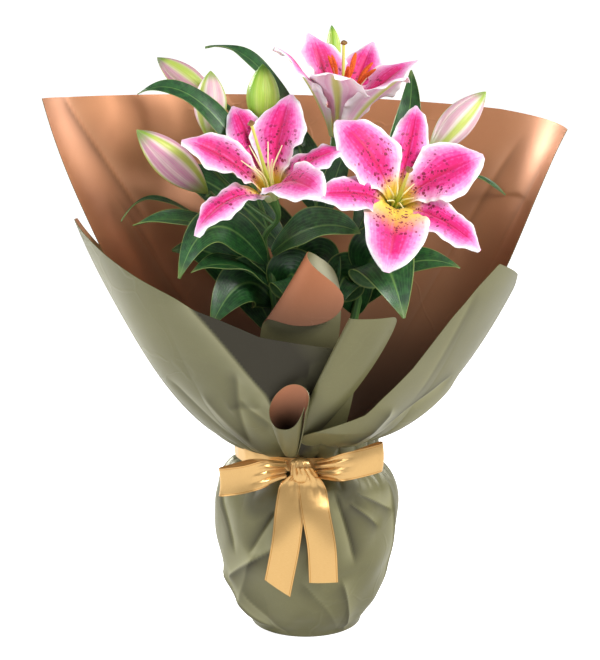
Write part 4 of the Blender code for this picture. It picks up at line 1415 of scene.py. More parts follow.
@dataclass(frozen=True)
class Flower:
    """A lily: three petals, three sepals, the pistil and six stamens."""

    name: str
    base: Array
    direction: Triple
    tepals: tuple[Tepal, ...]
    pistil_tip: Array
    stamen_lean: float
    stamen_length: float
    anthers: bool = False

    @property
    def axis(self) -> Array:
        """Unit direction that the flower faces."""
        return unit(self.direction)

    def build(self) -> None:
        """Builds the tepals, their papillae, the pistil and the stamens."""
        grounds = [tepal.build(self.base, self.axis).skin() for tepal in self.tepals]
        grains = Scatter("papillae_" + self.name, Grain.DOME, 42000.0, 0.00025, 0.00055, 0.8, 5)
        mesh = grains.strewn(joined(grounds), PAPILLA)
        settle(f"papillae_{self.name}", mesh, (PAPILLA,))
        self.build_pistil()
        self.build_stamens()

    def build_pistil(self) -> None:
        """The ovary, the curved style and a stigma of three lobes."""
        node = f"lily_{self.name}_pistil"
        foot = self.base + self.axis * 0.0008
        bend = foot + self.axis * 0.025
        tip = self.pistil_tip
        route = np.array([foot, bend, (bend + tip) / 2 + self.axis * 0.002, tip - (tip - bend) * 0.08, tip])
        shift = seat(node, np.stack([route, route]))
        style = rod(route, (0.0022, 0.0022, 0.0019, 0.0015, 0.0014, 0.0015, 0.0018), 48, 12).moved(shift)
        foot = foot + shift
        tip = tip + shift
        parts = [style.capped(foot, tip)]
        heading = unit(tip - route[-2])
        first, second = square_axes(heading)
        turn = around(36) * math.tau
        rings = []
        places = np.linspace(0.08, 0.95, 12)
        for place in places:
            swell = 0.0034 * math.sin(math.pi * place**0.8) ** 0.7
            lobes = swell * (1 + 0.26 * np.cos(3 * turn) * ease(0.2, 0.7, place))
            spot = tip + heading * (place * 0.0052 - 0.0030)
            rings.append(spot + oval(turn, lobes, first, lobes, second))
        stigma = Surface(np.array(rings), around(36), places[:, None], True)
        parts.append(stigma.capped(tip - heading * 0.0028, tip + heading * 0.0017))
        mesh = joined(parts, (0, 1))
        settle("style_" + self.name, mesh, (PISTIL_SKIN, STIGMA_SKIN), (node,))

    def build_stamens(self) -> None:
        """Six curved filaments, and on some flowers their long hinged anthers with pollen."""
        node = f"lily_{self.name}_stamens"
        axis = self.axis
        first, second = square_axes(axis)
        ring = self.base + axis * 0.0017
        parts = []
        slots = []
        dusty = []
        for i in range(6):
            spin = math.radians(30 + 60 * i)
            outward = first * math.cos(spin) + second * math.sin(spin)
            lean = math.radians(self.stamen_lean * (1 + 0.18 * math.sin(2.1 * i + 0.5)))
            reach = self.stamen_length * (1 - 0.07 * abs(math.sin(1.7 * i)))
            start = ring + outward * 0.0036
            end = start + (axis * math.cos(lean) + outward * math.sin(lean)) * reach
            middle = start + axis * reach * 0.5 + outward * reach * 0.12 * math.sin(lean)
            filament = rod(np.array([start, middle, end]), (0.0011, 0.0010, 0.0009, 0.0005), 24, 8)
            parts.append(filament.capped(start, end))
            slots.append(0)
            if self.anthers:
                swing = unit(outward * math.sin(lean + 0.35 + 0.25 * math.sin(1.9 * i)) + axis * math.cos(lean))
                anther = self.anther(end, swing, outward)
                dusty.append(anther)
                parts.append(anther.capped(end - swing * 0.0134, end + swing * 0.0134))
                slots.append(1)
        mesh = joined(parts, slots)
        settle("stamens_" + self.name, mesh, (FILAMENT_SKIN, ANTHER), (node,))
        if dusty:
            ground = joined([anther.skin() for anther in dusty])
            grains = Scatter("pollen_" + self.name, Grain.PEBBLE, 1600000.0, 0.00012, 0.00022, 1.0, 9)
            settle("pollen_" + self.name, grains.strewn(ground, POLLEN), (POLLEN,))

    def anther(self, middle: Array, swing: Array, outward: Array) -> Surface:
        """A long anther, grooved down its length.

        Args:
            middle: Where the filament holds it.
            swing: Unit direction of its length.
            outward: Direction away from the flower's axis.

        Returns:
            Its closed surface.
        """
        first = unit(np.cross(swing, outward))
        second = np.cross(swing, first)
        turn = around(20) * math.tau
        places = np.linspace(0.02, 0.98, 22)
        rings = []
        for place in places:
            size = 0.0023 * math.sin(math.pi * place) ** 0.42
            groove = 1 - 0.30 * np.exp(-(((turn - math.pi / 2) / 0.5) ** 2))
            groove = groove - 0.22 * np.exp(-(((turn - 3 * math.pi / 2) / 0.4) ** 2))
            bow = second * 0.0016 * math.sin(math.pi * place)
            spot = middle + swing * (place - 0.5) * 0.0265 + bow
            rings.append(spot + oval(turn, groove * size * 1.15, first, groove * size, second))
        return Surface(np.array(rings), around(20), places[:, None], True)


@dataclass(frozen=True)
class Bud:
    """A closed bud: a spindle of three ribbed lobes, split a little at its tip."""

    name: str
    base: Array
    tip: Array
    width: float
    skin: BudSkin
    slot: str = "bud_pink"
    turn: float = 0.0
    split: float = 0.16

    def build(self) -> None:
        """Builds and dresses the bud."""
        heading = unit(self.tip - self.base)
        length = float(np.linalg.norm(self.tip - self.base))
        first, second = square_axes(heading)
        places = np.linspace(0.012, 0.988, 52)
        turn = around(72) * math.tau
        lobe = np.abs(np.mod(3 * turn / math.tau, 1.0) * 2 - 1)
        rings = []
        for place in places:
            plump = math.sin(math.pi * place**1.02) ** 0.80
            ridge = 0.050 * np.exp(-((lobe / 0.16) ** 2))
            seam = -0.085 * np.exp(-(((1 - lobe) / 0.10) ** 2)) * float(ease(0.05, 0.3, place))
            cleft = -self.split * ease(0.86, 1.0, place) * (1 - np.exp(-((lobe / 0.5) ** 2)))
            bow = 0.02 * math.sin(math.pi * place) * length
            radius = self.width / 2 * plump * (1 + ridge + seam + cleft + 0.03 * np.cos(math.tau * lobe * 0.5))
            spin = turn + math.radians(self.turn)
            spot = self.base + heading * place * length + second * bow * 0.5
            rings.append(spot + oval(spin, radius, first, radius, second))
        node = "bud_" + self.name
        shift = seat(node, np.array(rings)) * 0.5
        surface = Surface(np.array(rings), around(72), places[:, None], True).moved(shift)
        mesh = surface.capped(self.base + heading * 0.0003 + shift, self.tip + shift, 75.0)
        settle("closed_" + node, mesh, (self.skin,), (node,))


# ---------------------------------------------------------------- stems and leaves


@dataclass(frozen=True)
class Stem:
    """A stem from its bulb to its flower, with the stalks of its buds."""

    name: str
    foot: Pair
    route: tuple[Array, ...]
    flower: Flower
    stalks: tuple[tuple[float, Bud], ...]

    def build(self) -> None:
        """Builds the stem and its stalks as one piece."""
        low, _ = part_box("bulb_" + self.name)
        start = np.array((self.foot[0], self.foot[1], low[2] + 0.047))
        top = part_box("soil")[1][2]
        surface = np.array((self.foot[0], self.foot[1], top + 0.008))
        axis = self.flower.axis
        base = self.flower.base
        points = np.array([start, (start + surface) / 2, surface, *self.route, base - axis * 0.025, base])
        radii = [0.0042] * (len(points) - 3) + [0.0030, 0.0024, 0.0052]
        main = rod(points, radii, 120, 18)
        scars = 1 + 0.10 * np.exp(-(((main.along * 11) % 1.0 - 0.5) ** 2) / 0.004) * np.cos(
            math.tau * main.across + main.along * 40
        ).clip(0)
        middle = main.points.mean(1, keepdims=True)
        main = replace(main, points=middle + (main.points - middle) * scars[..., None])
        parts = [main.capped(start, base)]
        for share, bud in self.stalks:
            origin = spline(points, np.array([share]))[0]
            heading = unit(bud.tip - bud.base)
            lead = bud.base - heading * 0.022
            sag = (origin + lead) / 2 + np.array((0.0, 0.0, -0.006))
            stalk = rod(np.array([origin, sag, lead, bud.base]), (0.0026, 0.0022, 0.0022, 0.0024, 0.0040), 40, 14)
            parts.append(stalk.capped(origin, bud.base))
        node = "stem_" + self.name
        settle("green_" + node, joined(parts), (STEM_SKIN,), (node,))


@dataclass(frozen=True)
class Leaf:
    """A lance-shaped leaf along a bent midline."""

    name: str
    base: Array
    middle: Array
    tip: Array
    width: float
    face: Triple
    known: bool = True
    full: float = 1.0
    sag: float = 0.0
    wave: float = 0.0014

    def surface(self, rows: int, columns: int, fine: bool) -> Surface:
        """The leaf's middle surface, with or without its relief.

        Args:
            rows: Points along.
            columns: Points across.
            fine: Whether to give it the rounded fold and the waves.

        Returns:
            The surface; its normals point to the face.
        """
        share = np.linspace(0, 1, rows)
        one = share[:, None]
        middle = self.middle - np.array((0.0, 0.0, self.sag if fine else 0.0))
        spine = self.base * (1 - one) ** 2 + middle * 2 * one * (1 - one) + self.tip * one**2
        heading = (middle - self.base) * (1 - one) + (self.tip - middle) * one
        heading /= np.linalg.norm(heading, axis=1, keepdims=True)
        side = np.cross(heading, np.asarray(self.face, float))
        side /= np.linalg.norm(side, axis=1, keepdims=True)
        upper = np.cross(side, heading)
        full = np.sin(math.pi * np.minimum(share, 0.994) ** 0.8) ** (0.86 if fine else 0.8)
        width = self.width * (self.full if fine else 1.0)
        half = blend(0.004, 0.0008 if fine else 0.0012, share) / 2 + (width - 0.004) / 2 * full
        over = np.linspace(-1, 1, columns)
        lift = half[:, None] * 0.22 * np.abs(over)
        if fine:
            soft = np.sqrt(over**2 + 0.01) - 0.1
            lift = half[:, None] * (0.24 * soft + 0.10 * soft**3)
            ripple = np.sin(math.tau * (2.2 * one + 0.2 * np.sign(over) + 0.1 * len(self.name)))
            lift = lift + self.wave * over**2 * ripple
        points = spine[:, None] + side[:, None] * (half[:, None] * over)[..., None] + upper[:, None] * lift[..., None]
        return Surface(points, (over + 1) / 2, one)

    def build(self) -> None:
        """Builds and dresses the leaf."""
        surface = self.surface(64, 21, True)
        nodes: tuple[str, ...] = ()
        if self.known:
            nodes = ("leaf_" + self.name,)
            surface = surface.moved(seat(nodes[0], self.surface(9, 3, False).points))
        side = np.abs(surface.across * 2 - 1)
        thick = blend(0.0012, 0.0005, ease(0.0, 0.9, side))
        mesh = surface.shell(thick)
        settle("blade_" + self.name, mesh, (LEAF_FACE, LEAF_BACK), nodes)


# ---------------------------------------------------------------- wrapping paper


@dataclass(frozen=True)
class Crease:
    """A fold line on a sheet, from one (angle, height) to another.

    Its depth is in metres, negative for a valley. A lap is the step where one side lies over the other.
    """

    start: Pair
    end: Pair
    depth: float
    width: float = 0.012
    lap: float = 0.0
    # reach and weight set how wide and how strong the painted shade beside the fold is.
    reach: float = 0.0075
    weight: float = 1.0

    def frame(self, angle: Array, height: Array, radius: float) -> tuple[Array, Array]:
        """Distance off the fold and share of the way along it."""
        scale = math.radians(1.0) * radius
        x = (angle - self.start[0]) * scale
        y = height - self.start[1]
        run = np.array(((self.end[0] - self.start[0]) * scale, self.end[1] - self.start[1]))
        length = float(np.linalg.norm(run))
        run = run / length
        return x * run[1] - y * run[0], (x * run[0] + y * run[1]) / length

    def push(self, angle: Array, height: Array, radius: float, soft: float) -> Array:
        """How far the fold moves the paper out at places on it.

        Args:
            angle: Angles in degrees.
            height: Heights in metres.
            radius: Radius at which angles are turned into distances.
            soft: Radius of the fold's edge.

        Returns:
            The moves along the normal.
        """
        off, along = self.frame(angle, height, radius)
        inside = ease(-0.12, 0.12, along) * (1 - ease(0.82, 1.15, along))
        ridge = self.depth * np.exp((soft - np.sqrt(off**2 + soft**2)) / self.width)
        step = self.lap * ease(-soft, soft, off) * np.exp(-np.abs(off) / (2.4 * self.width))
        return (ridge + step) * inside

    def tone(self, angle: Array, height: Array, radius: float, soft: float) -> Array:
        """Light on one side of the fold and shade on the other, from -1 to 1.

        Args:
            angle: Angles in degrees.
            height: Heights in metres.
            radius: Radius at which angles are turned into distances.
            soft: Half the width over which light gives way to shade.

        Returns:
            The tone at those places.
        """
        off, along = self.frame(angle, height, radius)
        inside = ease(-0.10, 0.10, along) * (1 - ease(0.85, 1.12, along))
        strength = min(1.0, (abs(self.depth) + abs(self.lap)) / 0.0045)
        turned = -1.0 if (self.lap or -self.depth) > 0 else 1.0
        light = 0.50 / self.weight * np.exp(-np.abs(off) / 0.008)
        shade = -np.exp(-np.abs(off) / self.reach)
        return blend(shade, light, ease(-soft, soft, off * turned)) * inside * strength * self.weight


@dataclass(frozen=True)
class Gather:
    """Pleats of all the paper at the ribbon: inward valleys that fade away from the neck."""

    neck: float = 0.185
    tight: float = 0.0042
    loose: float = 0.0030

    def push(self, angle: Array, height: Array) -> Array:
        """Inward move of every layer at places round the neck.

        Args:
            angle: Angles in degrees.
            height: Heights in metres.

        Returns:
            The moves, negative inwards.
        """
        turn = np.radians(angle)
        above = np.abs(height - self.neck)
        near = np.exp(-((above / 0.024) ** 2))
        far = np.exp(-above / np.where(height > self.neck, 0.075, 0.030)) * ease(0.0, 0.02, above)
        many = 1 - np.abs(np.sin(10.5 * turn + 1.1 * np.sin(2 * turn + 0.4) + 0.3)) ** 0.7
        few = 1 - np.abs(np.sin(4.5 * turn + 0.9 * np.sin(3 * turn + 1.0) + 0.9)) ** 0.55
        return -self.tight * near * many - self.loose * far * few


@dataclass(frozen=True)
class Neck:
    """Where the ribbon ties the paper, and how the collar opens above it."""

    height: float = 0.185
    radius: float = 0.062
    layer: float = 0.0018
    spread: float = 1.2
    foot: float = 0.179
    open_foot: float = 0.193
    top: float = 0.533
    left: float = 0.258
    right: float = 0.258
    back: float = 0.155
    front: float = 0.170

    def opened(self, height: Array) -> Array:
        """How far the collar has opened at a height, from 0 to 1."""
        rise = np.maximum(height - self.open_foot, 0.0)
        full = self.top - self.open_foot
        first = math.sqrt(0.002)
        return (np.sqrt(rise + 0.002) - first) / (math.sqrt(full + 0.002) - first)

    def point(self, angle: Array, height: Array, layer: float, bulge: Array | float = 0.0) -> Array:
        """Points of one paper layer.

        Args:
            angle: Angles in degrees.
            height: Heights in metres.
            layer: Number of the layer, outwards.
            bulge: How far the paper stands out there.

        Returns:
            The points.
        """
        turn = np.radians(angle)
        opened = self.opened(height)
        side = np.where(np.cos(turn) > 0, self.right, self.left)
        depth = np.where(np.sin(turn) > 0, self.back, self.front)
        inner = self.radius + layer * self.layer * (1 + self.spread * opened)
        across = inner + (side - self.radius) * opened + bulge
        deep = inner + (depth - self.radius) * opened + bulge
        return np.stack([across * np.cos(turn), deep * np.sin(turn), height], -1)

    def before(self, x: Array | float, height: Array | float, ahead: Array | float, layer: float = 2) -> Array:
        """Points at a sideways place, ahead of a layer's front.

        Args:
            x: Sideways places.
            height: Heights.
            ahead: Distances in front; negative behind.
            layer: Number of the layer.

        Returns:
            The points.
        """
        x, height, ahead = np.broadcast_arrays(
            np.asarray(x, float), np.asarray(height, float), np.asarray(ahead, float)
        )
        opened = self.opened(height)
        inner = self.radius + layer * self.layer * (1 + self.spread * opened)
        across = inner + (self.left - self.radius) * opened
        deep = inner + (self.front - self.radius) * opened
        return np.stack([x, -deep * np.sqrt(1 - (x / across) ** 2) - ahead, height], -1)


NECK = Neck()
GATHER = Gather()
PAPER_THICKNESS = 0.0006


@dataclass(frozen=True)
class CollarSheet:
    """A sheet of the collar, from the ribbon up to an outline of (angle, height) corners."""

    name: str
    outline: tuple[Pair, ...]
    layer: float
    flat: Pair
    area: float
    creases: tuple[Crease, ...] = ()
    bulge: Callable[[Array, Array], Array] | None = None
    rows: int = 110
    columns: int = 150
    finish: WrapPaper = OLIVE
    fold_radius: float = 0.155
    fold_soft: float = 0.0035

    def tops(self, angle: Array) -> Array:
        """Height of the sheet's upper edge at angles."""
        corners = np.array(self.outline)
        return np.interp(angle, corners[:, 0], corners[:, 1])

    def grid(self, rows: int, columns: int, fine: bool) -> Surface:
        """The sheet's middle surface.

        Args:
            rows: Points from the ribbon up.
            columns: Points round.
            fine: Whether to fold it.

        Returns:
            The surface; its normals point outwards.
        """
        angle = np.linspace(self.outline[0][0], self.outline[-1][0], columns)[None, :]
        share = np.linspace(0, 1, rows)[:, None]
        top = self.tops(angle)
        rise = np.clip((share - 0.05) / 0.95, 0.0, 1.0)
        above = NECK.open_foot + (top - NECK.open_foot) * rise**1.9
        height = np.where(share < 0.05, blend(NECK.foot, NECK.open_foot, share / 0.05), above)
        angle = np.broadcast_to(angle, height.shape)
        push = self.bulge(angle, height) if self.bulge else np.zeros(height.shape)
        surface = Surface(NECK.point(angle, height, self.layer, push), np.linspace(0, 1, columns), share)
        if not fine:
            return surface
        moves = GATHER.push(angle, height)
        tone = np.zeros(height.shape)
        for crease in self.creases:
            moves = moves + crease.push(angle, height, self.fold_radius, self.fold_soft)
            tone = tone + crease.tone(angle, height, self.fold_radius, self.fold_soft)
        # Painted highlight and painted shade of the folds, with more painted shade in the pleat valleys at the
        # ribbon.
        surface.tone = np.clip(tone + 60 * GATHER.push(angle, height), -1.1, 1.0)
        lift = ease(NECK.open_foot, NECK.open_foot + 0.05, height)
        slow = np.sin(np.radians(angle) * 3.1 + height * 21.0 + self.layer)
        slow = slow + 0.6 * np.sin(np.radians(angle) * 7.3 - height * 33.0 + 2.0 * self.layer)
        return surface.raised(moves + 0.0012 * lift * slow)

    def build(self) -> None:
        node = f"wrap_{self.name}_sheet"
        shift = seat(node, self.grid(20, 24, False).points)
        mesh = self.grid(self.rows, self.columns, True).moved(shift).shell(PAPER_THICKNESS, 70.0)
        piece = settle(f"paper_{self.name}_sheet", mesh, (self.finish, COPPER), (node,))


def caged(points: Array, quads: Sequence[Sequence[int]], levels: int) -> Mesh:
    """A thin two-sided sheet from a coarse cage, smoothed.

    Args:
        points: Points of the cage.
        quads: Its faces.
        levels: Number of subdivisions.

    Returns:
        The mesh: slot 0 on the side of the cage's normals, slot 1 on the other.
    """
    mesh = bpy.data.meshes.new("cage")
    mesh.from_pydata(points.tolist(), [], [list(quad) for quad in quads])
    coarse = link("cage", mesh)
    for finish in (OLIVE, COPPER):
        mesh.materials.append(finish.material())
    smooth = coarse.modifiers.new("soften", "SUBSURF")
    smooth.levels = levels
    smooth.render_levels = levels
    wall = coarse.modifiers.new("paper", "SOLIDIFY")
    wall.thickness = PAPER_THICKNESS
    wall.offset = 0.0
    wall.material_offset = 1
    graph = bpy.context.evaluated_depsgraph_get()
    made = bpy.data.meshes.new_from_object(coarse.evaluated_get(graph))
    bpy.data.objects.remove(coarse, do_unlink=True)
    bpy.data.meshes.remove(mesh)
    for name in ("share", "metric", "tone"):
        layer = made.uv_layers.new(name=name)
        layer.data.foreach_set("uv", np.zeros(len(made.loops) * 2, np.float32))
    made.shade_smooth()
    made.set_sharp_from_angle(angle=math.radians(70))
    return made


@dataclass(frozen=True)
class InnerSheet:
    """The front inner sheet, its upper corner folded forward to show the copper face."""

    flat: Pair = (0.13, 0.26)
    area: float = 0.0150

    def build(self) -> None:
        layer = NECK.layer
        heights = (NECK.foot, 0.189, NECK.open_foot, 0.230, 0.304, 0.344)
        behind = (-1.2 * layer, -1.2 * layer, -1.2 * layer, -0.010, -0.018, -0.030)
        places = ((12, -1, -14), (12, -1, -14), (12, -1, -14), (22, -3, -26), (28, -8, -46), (34, 0, -42))
        points = [NECK.before(x / 1000, z, back) for z, back, row in zip(heights, behind, places) for x in row]
        points += [NECK.before(x, z, -0.064) for x, z in ((0.030, 0.380), (0.012, 0.392), (-0.002, 0.402))]
        quads = [(3 * i + j, 3 * i + j + 1, 3 * i + j + 4, 3 * i + j + 3) for i in range(6) for j in range(2)]
        flap = ((-20, 0.332, -0.012), (24, 0.334, -0.010), (2, 0.386, -0.042), (44, 0.362, -0.028))
        first = len(points)
        points += [NECK.before(x / 1000, z, back) for x, z, back in flap]
        quads += [(17, first, first + 2, 20), (first, first + 1, first + 3, first + 2)]
        mesh = caged(np.array(points), quads, 4)
        piece = settle("paper_inner_sheet", mesh, (FLAP_COPPER, INNER_OLIVE), ("wrap_inner_sheet",))


@dataclass(frozen=True)
class CentreRoll:
    """A corner of paper rolled into a loose cone in front of the collar."""

    flat: Pair = (0.10, 0.22)
    area: float = 0.0083

    def build(self) -> None:
        layer = NECK.layer
        stations = (
            (NECK.foot, -0.003, layer, 0.005, 0.0002),
            (0.189, -0.003, layer, 0.005, 0.0002),
            (NECK.open_foot, -0.003, layer, 0.005, 0.0002),
            (0.204, -0.010, 0.0042, 0.008, 0.0006),
            (0.226, 0.000, 0.0064, 0.012, 0.0026),
            (0.264, 0.020, 0.0105, 0.021, 0.0065),
            (0.304, 0.041, 0.0140, 0.026, 0.0090),
            (0.348, 0.061, 0.0180, 0.026, 0.0120),
        )
        turns = np.radians((140, 200, 250, 305, 365))
        points = []
        for height, x, ahead, half_width, half_depth in stations:
            for turn in turns:
                place = NECK.before(x + half_width * math.cos(turn), height, ahead)
                points.append(place + np.array((0.0, half_depth * math.sin(turn), 0.0)))
        quads = [(5 * i + j, 5 * i + j + 1, 5 * i + j + 6, 5 * i + j + 5) for i in range(7) for j in range(4)]
        mesh = caged(np.array(points), quads, 4)
        piece = settle("paper_centre_roll", mesh, (ROLL_OLIVE, FLAP_COPPER), ("wrap_centre_roll",))


@dataclass(frozen=True)
class FrontCurl:
    """The low corner of the front paper, curled into a narrow cone with its copper face inside."""

    foot: float = 0.196
    lip: float = 0.236
    back_lip: float = 0.280
    flat: Pair = (0.10, 0.085)
    area: float = 0.0045

    def build(self) -> None:
        turn = np.radians(np.linspace(-20, 350, 80))[None, :]
        share = np.linspace(0, 1, 40)[:, None]
        top = blend(self.lip, self.back_lip, (0.5 + 0.5 * np.sin(turn + 0.45)) ** 1.4)
        height = blend(self.foot, top, share)
        rise = (height - self.foot) / (self.back_lip - self.foot)
        width = (0.004 + 0.020 * rise**0.75 + 0.0010 * np.sin(3 * turn) * rise) * (1 - 0.022 * turn)
        depth = 0.75 * width
        middle = -0.0150 - 0.0050 * rise
        place = NECK.before(middle + width * np.cos(turn), height, depth + 0.004, 4)
        points = place + np.stack([0 * height, depth * np.sin(turn), 0 * height], 2)
        # The tone paints shade that deepens towards the curl's foot.
        surface = Surface(points, np.linspace(0, 1, 80), share, tone=-0.25 * (1 - rise))
        mesh = surface.shell(PAPER_THICKNESS, 70.0)
        piece = settle("paper_front_curl", mesh, (OLIVE, CURL_COPPER))


@dataclass(frozen=True)
class PotCover:
    """Paper drawn up round the pot from below, folded flat round its foot and pleated at the neck."""

    slack: float = 0.019
    rows: int = 122
    columns: int = 370
    fold_radius: float = 0.088
    flat: Pair = (0.50, 0.50)
    area: float = 0.120
    creases: tuple[Crease, ...] = (
        Crease((206, 0.060), (254, 0.108), 0.0022, 0.016, 0.0022),
        Crease((250, 0.142), (234, 0.098), -0.0026, 0.010, 0.0018),
        Crease((238, 0.098), (212, 0.030), 0.0016, 0.010),
        Crease((290, 0.158), (303, 0.088), -0.0026, 0.010, -0.0020),
        Crease((296, 0.064), (312, 0.004), 0.0024, 0.011, 0.0016),
        Crease((268, 0.066), (300, 0.010), -0.0015, 0.012),
        Crease((300, 0.148), (322, 0.118), -0.0030, 0.007, 0.0016),
        Crease((308, 0.156), (338, 0.128), -0.0028, 0.007, 0.0014),
        Crease((338, 0.150), (344, 0.050), 0.0018, 0.012, -0.0010),
        Crease((200, 0.150), (218, 0.094), -0.0024, 0.010, 0.0014),
        Crease((192, 0.060), (236, 0.012), 0.0020, 0.011, 0.0012),
        Crease((222, 0.050), (252, 0.004), 0.0018, 0.011),
        Crease((20, 0.140), (42, 0.060), -0.0024, 0.010, 0.0016),
        Crease((60, 0.150), (84, 0.080), 0.0022, 0.012, -0.0014),
        Crease((100, 0.150), (92, 0.070), -0.0026, 0.010, 0.0018),
        Crease((140, 0.140), (122, 0.040), 0.0022, 0.012, 0.0014),
        Crease((160, 0.120), (178, 0.040), -0.0020, 0.010, 0.0012),
        Crease((30, 0.050), (62, 0.006), 0.0018, 0.011),
        Crease((112, 0.046), (84, 0.006), 0.0018, 0.011),
    )

    def profile(self) -> Array:
        """Outline (radius, height) from the middle of the underside up to the neck."""
        swell = ((0.05, 0.22), (0.13, 0.50), (0.23, 0.76), (0.45, 0.88), (0.62, 1.0), (0.82, 0.84), (0.98, 0.60))
        wall = [(blend(0.054, 0.0802, s) + self.slack * k, 0.0009 + 0.140 * s) for s, k in swell]
        radius, height = wall[-1]
        shoulder = [
            (blend(radius, NECK.radius, 0.16), blend(height, NECK.height, 0.38)),
            (blend(radius, NECK.radius, 0.55), blend(height, NECK.height, 0.68)),
            (NECK.radius - 0.0016, 0.177),
            (NECK.radius - 0.0022, 0.196),
        ]
        corner = (0.0558, 0.0012)
        return np.array([corner, *wall, *shoulder])

    def build(self) -> None:
        columns = self.columns
        wall = spline(self.profile(), np.linspace(0, 1, self.rows) ** 0.94)
        floor = np.stack([np.linspace(0.004, 0.0545, 10), np.full(10, PAPER_THICKNESS / 2 + 0.0001)], 1)
        outline = np.concatenate([floor, wall])
        angle = around(columns)[None, :] * 360
        radius = outline[:, :1]
        height = np.broadcast_to(outline[:, 1:], (len(outline), columns))
        turn = np.radians(angle)
        body = ease(0.006, 0.05, height) * (1 - ease(0.13, 0.172, height))
        boxy = 1 + body * (0.010 * np.cos(4 * turn + 0.5) + 0.012 * np.cos(3 * turn + 2.0))
        low = ease(0.001, 0.008, height) * (1 - ease(0.03, 0.06, height))
        facets = np.abs(np.sin(3.5 * turn + 0.8 + 0.4 * np.sin(2 * turn)))
        boxy = boxy - low * 0.035 * (1 - facets**0.8)
        points = np.stack([radius * boxy * np.cos(turn), radius * boxy * np.sin(turn), height], 2)
        surface = Surface(points, angle / 360, np.linspace(0, 1, len(outline))[:, None], True)
        moves = np.zeros(height.shape)
        full = np.broadcast_to(angle, height.shape)
        tone = np.zeros(height.shape)
        for crease in self.creases:
            moves = moves + 1.5 * crease.push(full, height, self.fold_radius, 0.0014)
            tone = tone + crease.tone(full, height, self.fold_radius, 0.0016)
        # Painted highlight and painted shade of the folds, with more painted shade in the pleat valleys at the
        # ribbon.
        surface.tone = np.clip(tone + 50 * GATHER.push(full, height), -1.0, 1.0)
        slow = 0.0011 * np.sin(5 * turn + height * 60.0) + 0.0008 * np.sin(9 * turn - height * 85.0 + 1.0)
        moves = (moves + slow) * ease(0.002, 0.02, height) + GATHER.push(full, height)
        mesh = surface.raised(moves).shell(PAPER_THICKNESS, 70.0)
        mesh = self.closed_floor(mesh, len(outline), columns)
        piece = settle("paper_pot_cover", mesh, (COVER_OLIVE, COPPER), ("wrap_pot_cover",))

    def closed_floor(self, mesh: Mesh, rows: int, columns: int) -> Mesh:
        """Closes the small opening in the middle of the underside.

        Args:
            mesh: The cover's shell; it is removed.
            rows: Rows of its grid.
            columns: Columns of its grid.

        Returns:
            The closed mesh.
        """
        count = rows * columns
        points = points_of(mesh)
        pairs = ((j, (j + 1) % columns) for j in range(columns))
        rim = {frozenset((j, after, after + count, j + count)) for j, after in pairs}
        keep = [k for k, polygon in enumerate(mesh.polygons) if frozenset(polygon.vertices) not in rim]
        faces = [list(mesh.polygons[k].vertices) for k in keep]
        slots = [mesh.polygons[k].material_index for k in keep]
        loops = [index for k in keep for index in mesh.polygons[k].loop_indices]
        floor = np.zeros((2 * columns, 2))
        layers = {name: np.concatenate([values[loops], floor]) for name, values in maps_of(mesh).items()}
        faces.append(list(range(columns))[::-1])
        faces.append(list(range(count, count + columns)))
        bpy.data.meshes.remove(mesh)
        return mesh_of(points, faces, layers, [*slots, 0, 1], 70.0)


def leaning_back(angle: Array, height: Array) -> Array:
    """How far the back sheet leans out at its right."""
    rise = np.clip((height - 0.38) / 0.15, 0.0, 1.0)
    return 0.014 * rise * rise * np.maximum(np.cos(np.radians(angle)), 0.0) ** 2


def over_roll(angle: Array, height: Array) -> Array:
    """How far the right sheet stands out where it passes over the centre roll."""
    near = np.maximum(0.0, 1 - np.abs(angle - 282) / 36)
    return 0.018 * near * near * (3 - 2 * near) * np.clip((height - 0.192) / 0.03, 0.0, 1.0)


BACK_SHEET = CollarSheet(
    name="back",
    outline=((5, 0.502), (40, 0.516), (90, 0.526), (140, 0.530), (174, 0.533)),
    layer=0.6,
    flat=(0.55, 0.44),
    area=0.17,
    creases=(
        Crease((158, 0.533), (140, 0.400), 0.0035, 0.020),
        Crease((150, 0.420), (128, 0.250), -0.0030, 0.018),
        Crease((60, 0.500), (70, 0.300), 0.0030, 0.024),
        Crease((30, 0.480), (48, 0.280), -0.0026, 0.018),
        Crease((95, 0.500), (100, 0.260), 0.0022, 0.020),
        Crease((12, 0.470), (24, 0.300), 0.0020, 0.016),
    ),
    bulge=leaning_back,
    columns=190,
)
LEFT_SHEET = CollarSheet(
    name="left",
    outline=((160, 0.368), (178, 0.422), (189, 0.425), (208, 0.396), (233, 0.363), (256, 0.330), (286, 0.314)),
    layer=2,
    flat=(0.42, 0.36),
    area=0.061,
    creases=(
        # The first two creases paint a broad, strong shade on one side.
        Crease((236, 0.366), (257, 0.266), 0.0046, 0.012, reach=0.075, weight=2.0),
        Crease((256, 0.270), (265, 0.200), 0.0040, 0.010, reach=0.030, weight=1.6),
        Crease((246, 0.290), (238, 0.210), -0.0030, 0.012),
        Crease((244, 0.262), (254, 0.236), -0.0022, 0.006),
        Crease((238, 0.252), (252, 0.258), 0.0018, 0.006),
        Crease((228, 0.262), (240, 0.200), 0.0026, 0.010),
        Crease((210, 0.270), (228, 0.200), -0.0026, 0.012),
        Crease((270, 0.300), (272, 0.205), -0.0022, 0.010),
    ),
    columns=210,
    finish=LEFT_OLIVE,
)
RIGHT_SHEET = CollarSheet(
    name="right",
    outline=((264, 0.212), (289, 0.242), (302, 0.286), (312, 0.334), (324, 0.380), (342, 0.362), (368, 0.315)),
    layer=5,
    flat=(0.36, 0.24),
    area=0.040,
    creases=(
        Crease((300, 0.244), (294, 0.200), 0.0030, 0.010, 0.0016),
        Crease((330, 0.262), (304, 0.214), -0.0030, 0.010, 0.0024),
        Crease((344, 0.250), (320, 0.205), 0.0024, 0.010),
        Crease((318, 0.350), (312, 0.250), 0.0020, 0.018),
    ),
    bulge=over_roll,
    columns=160,
)


# ---------------------------------------------------------------- ribbon


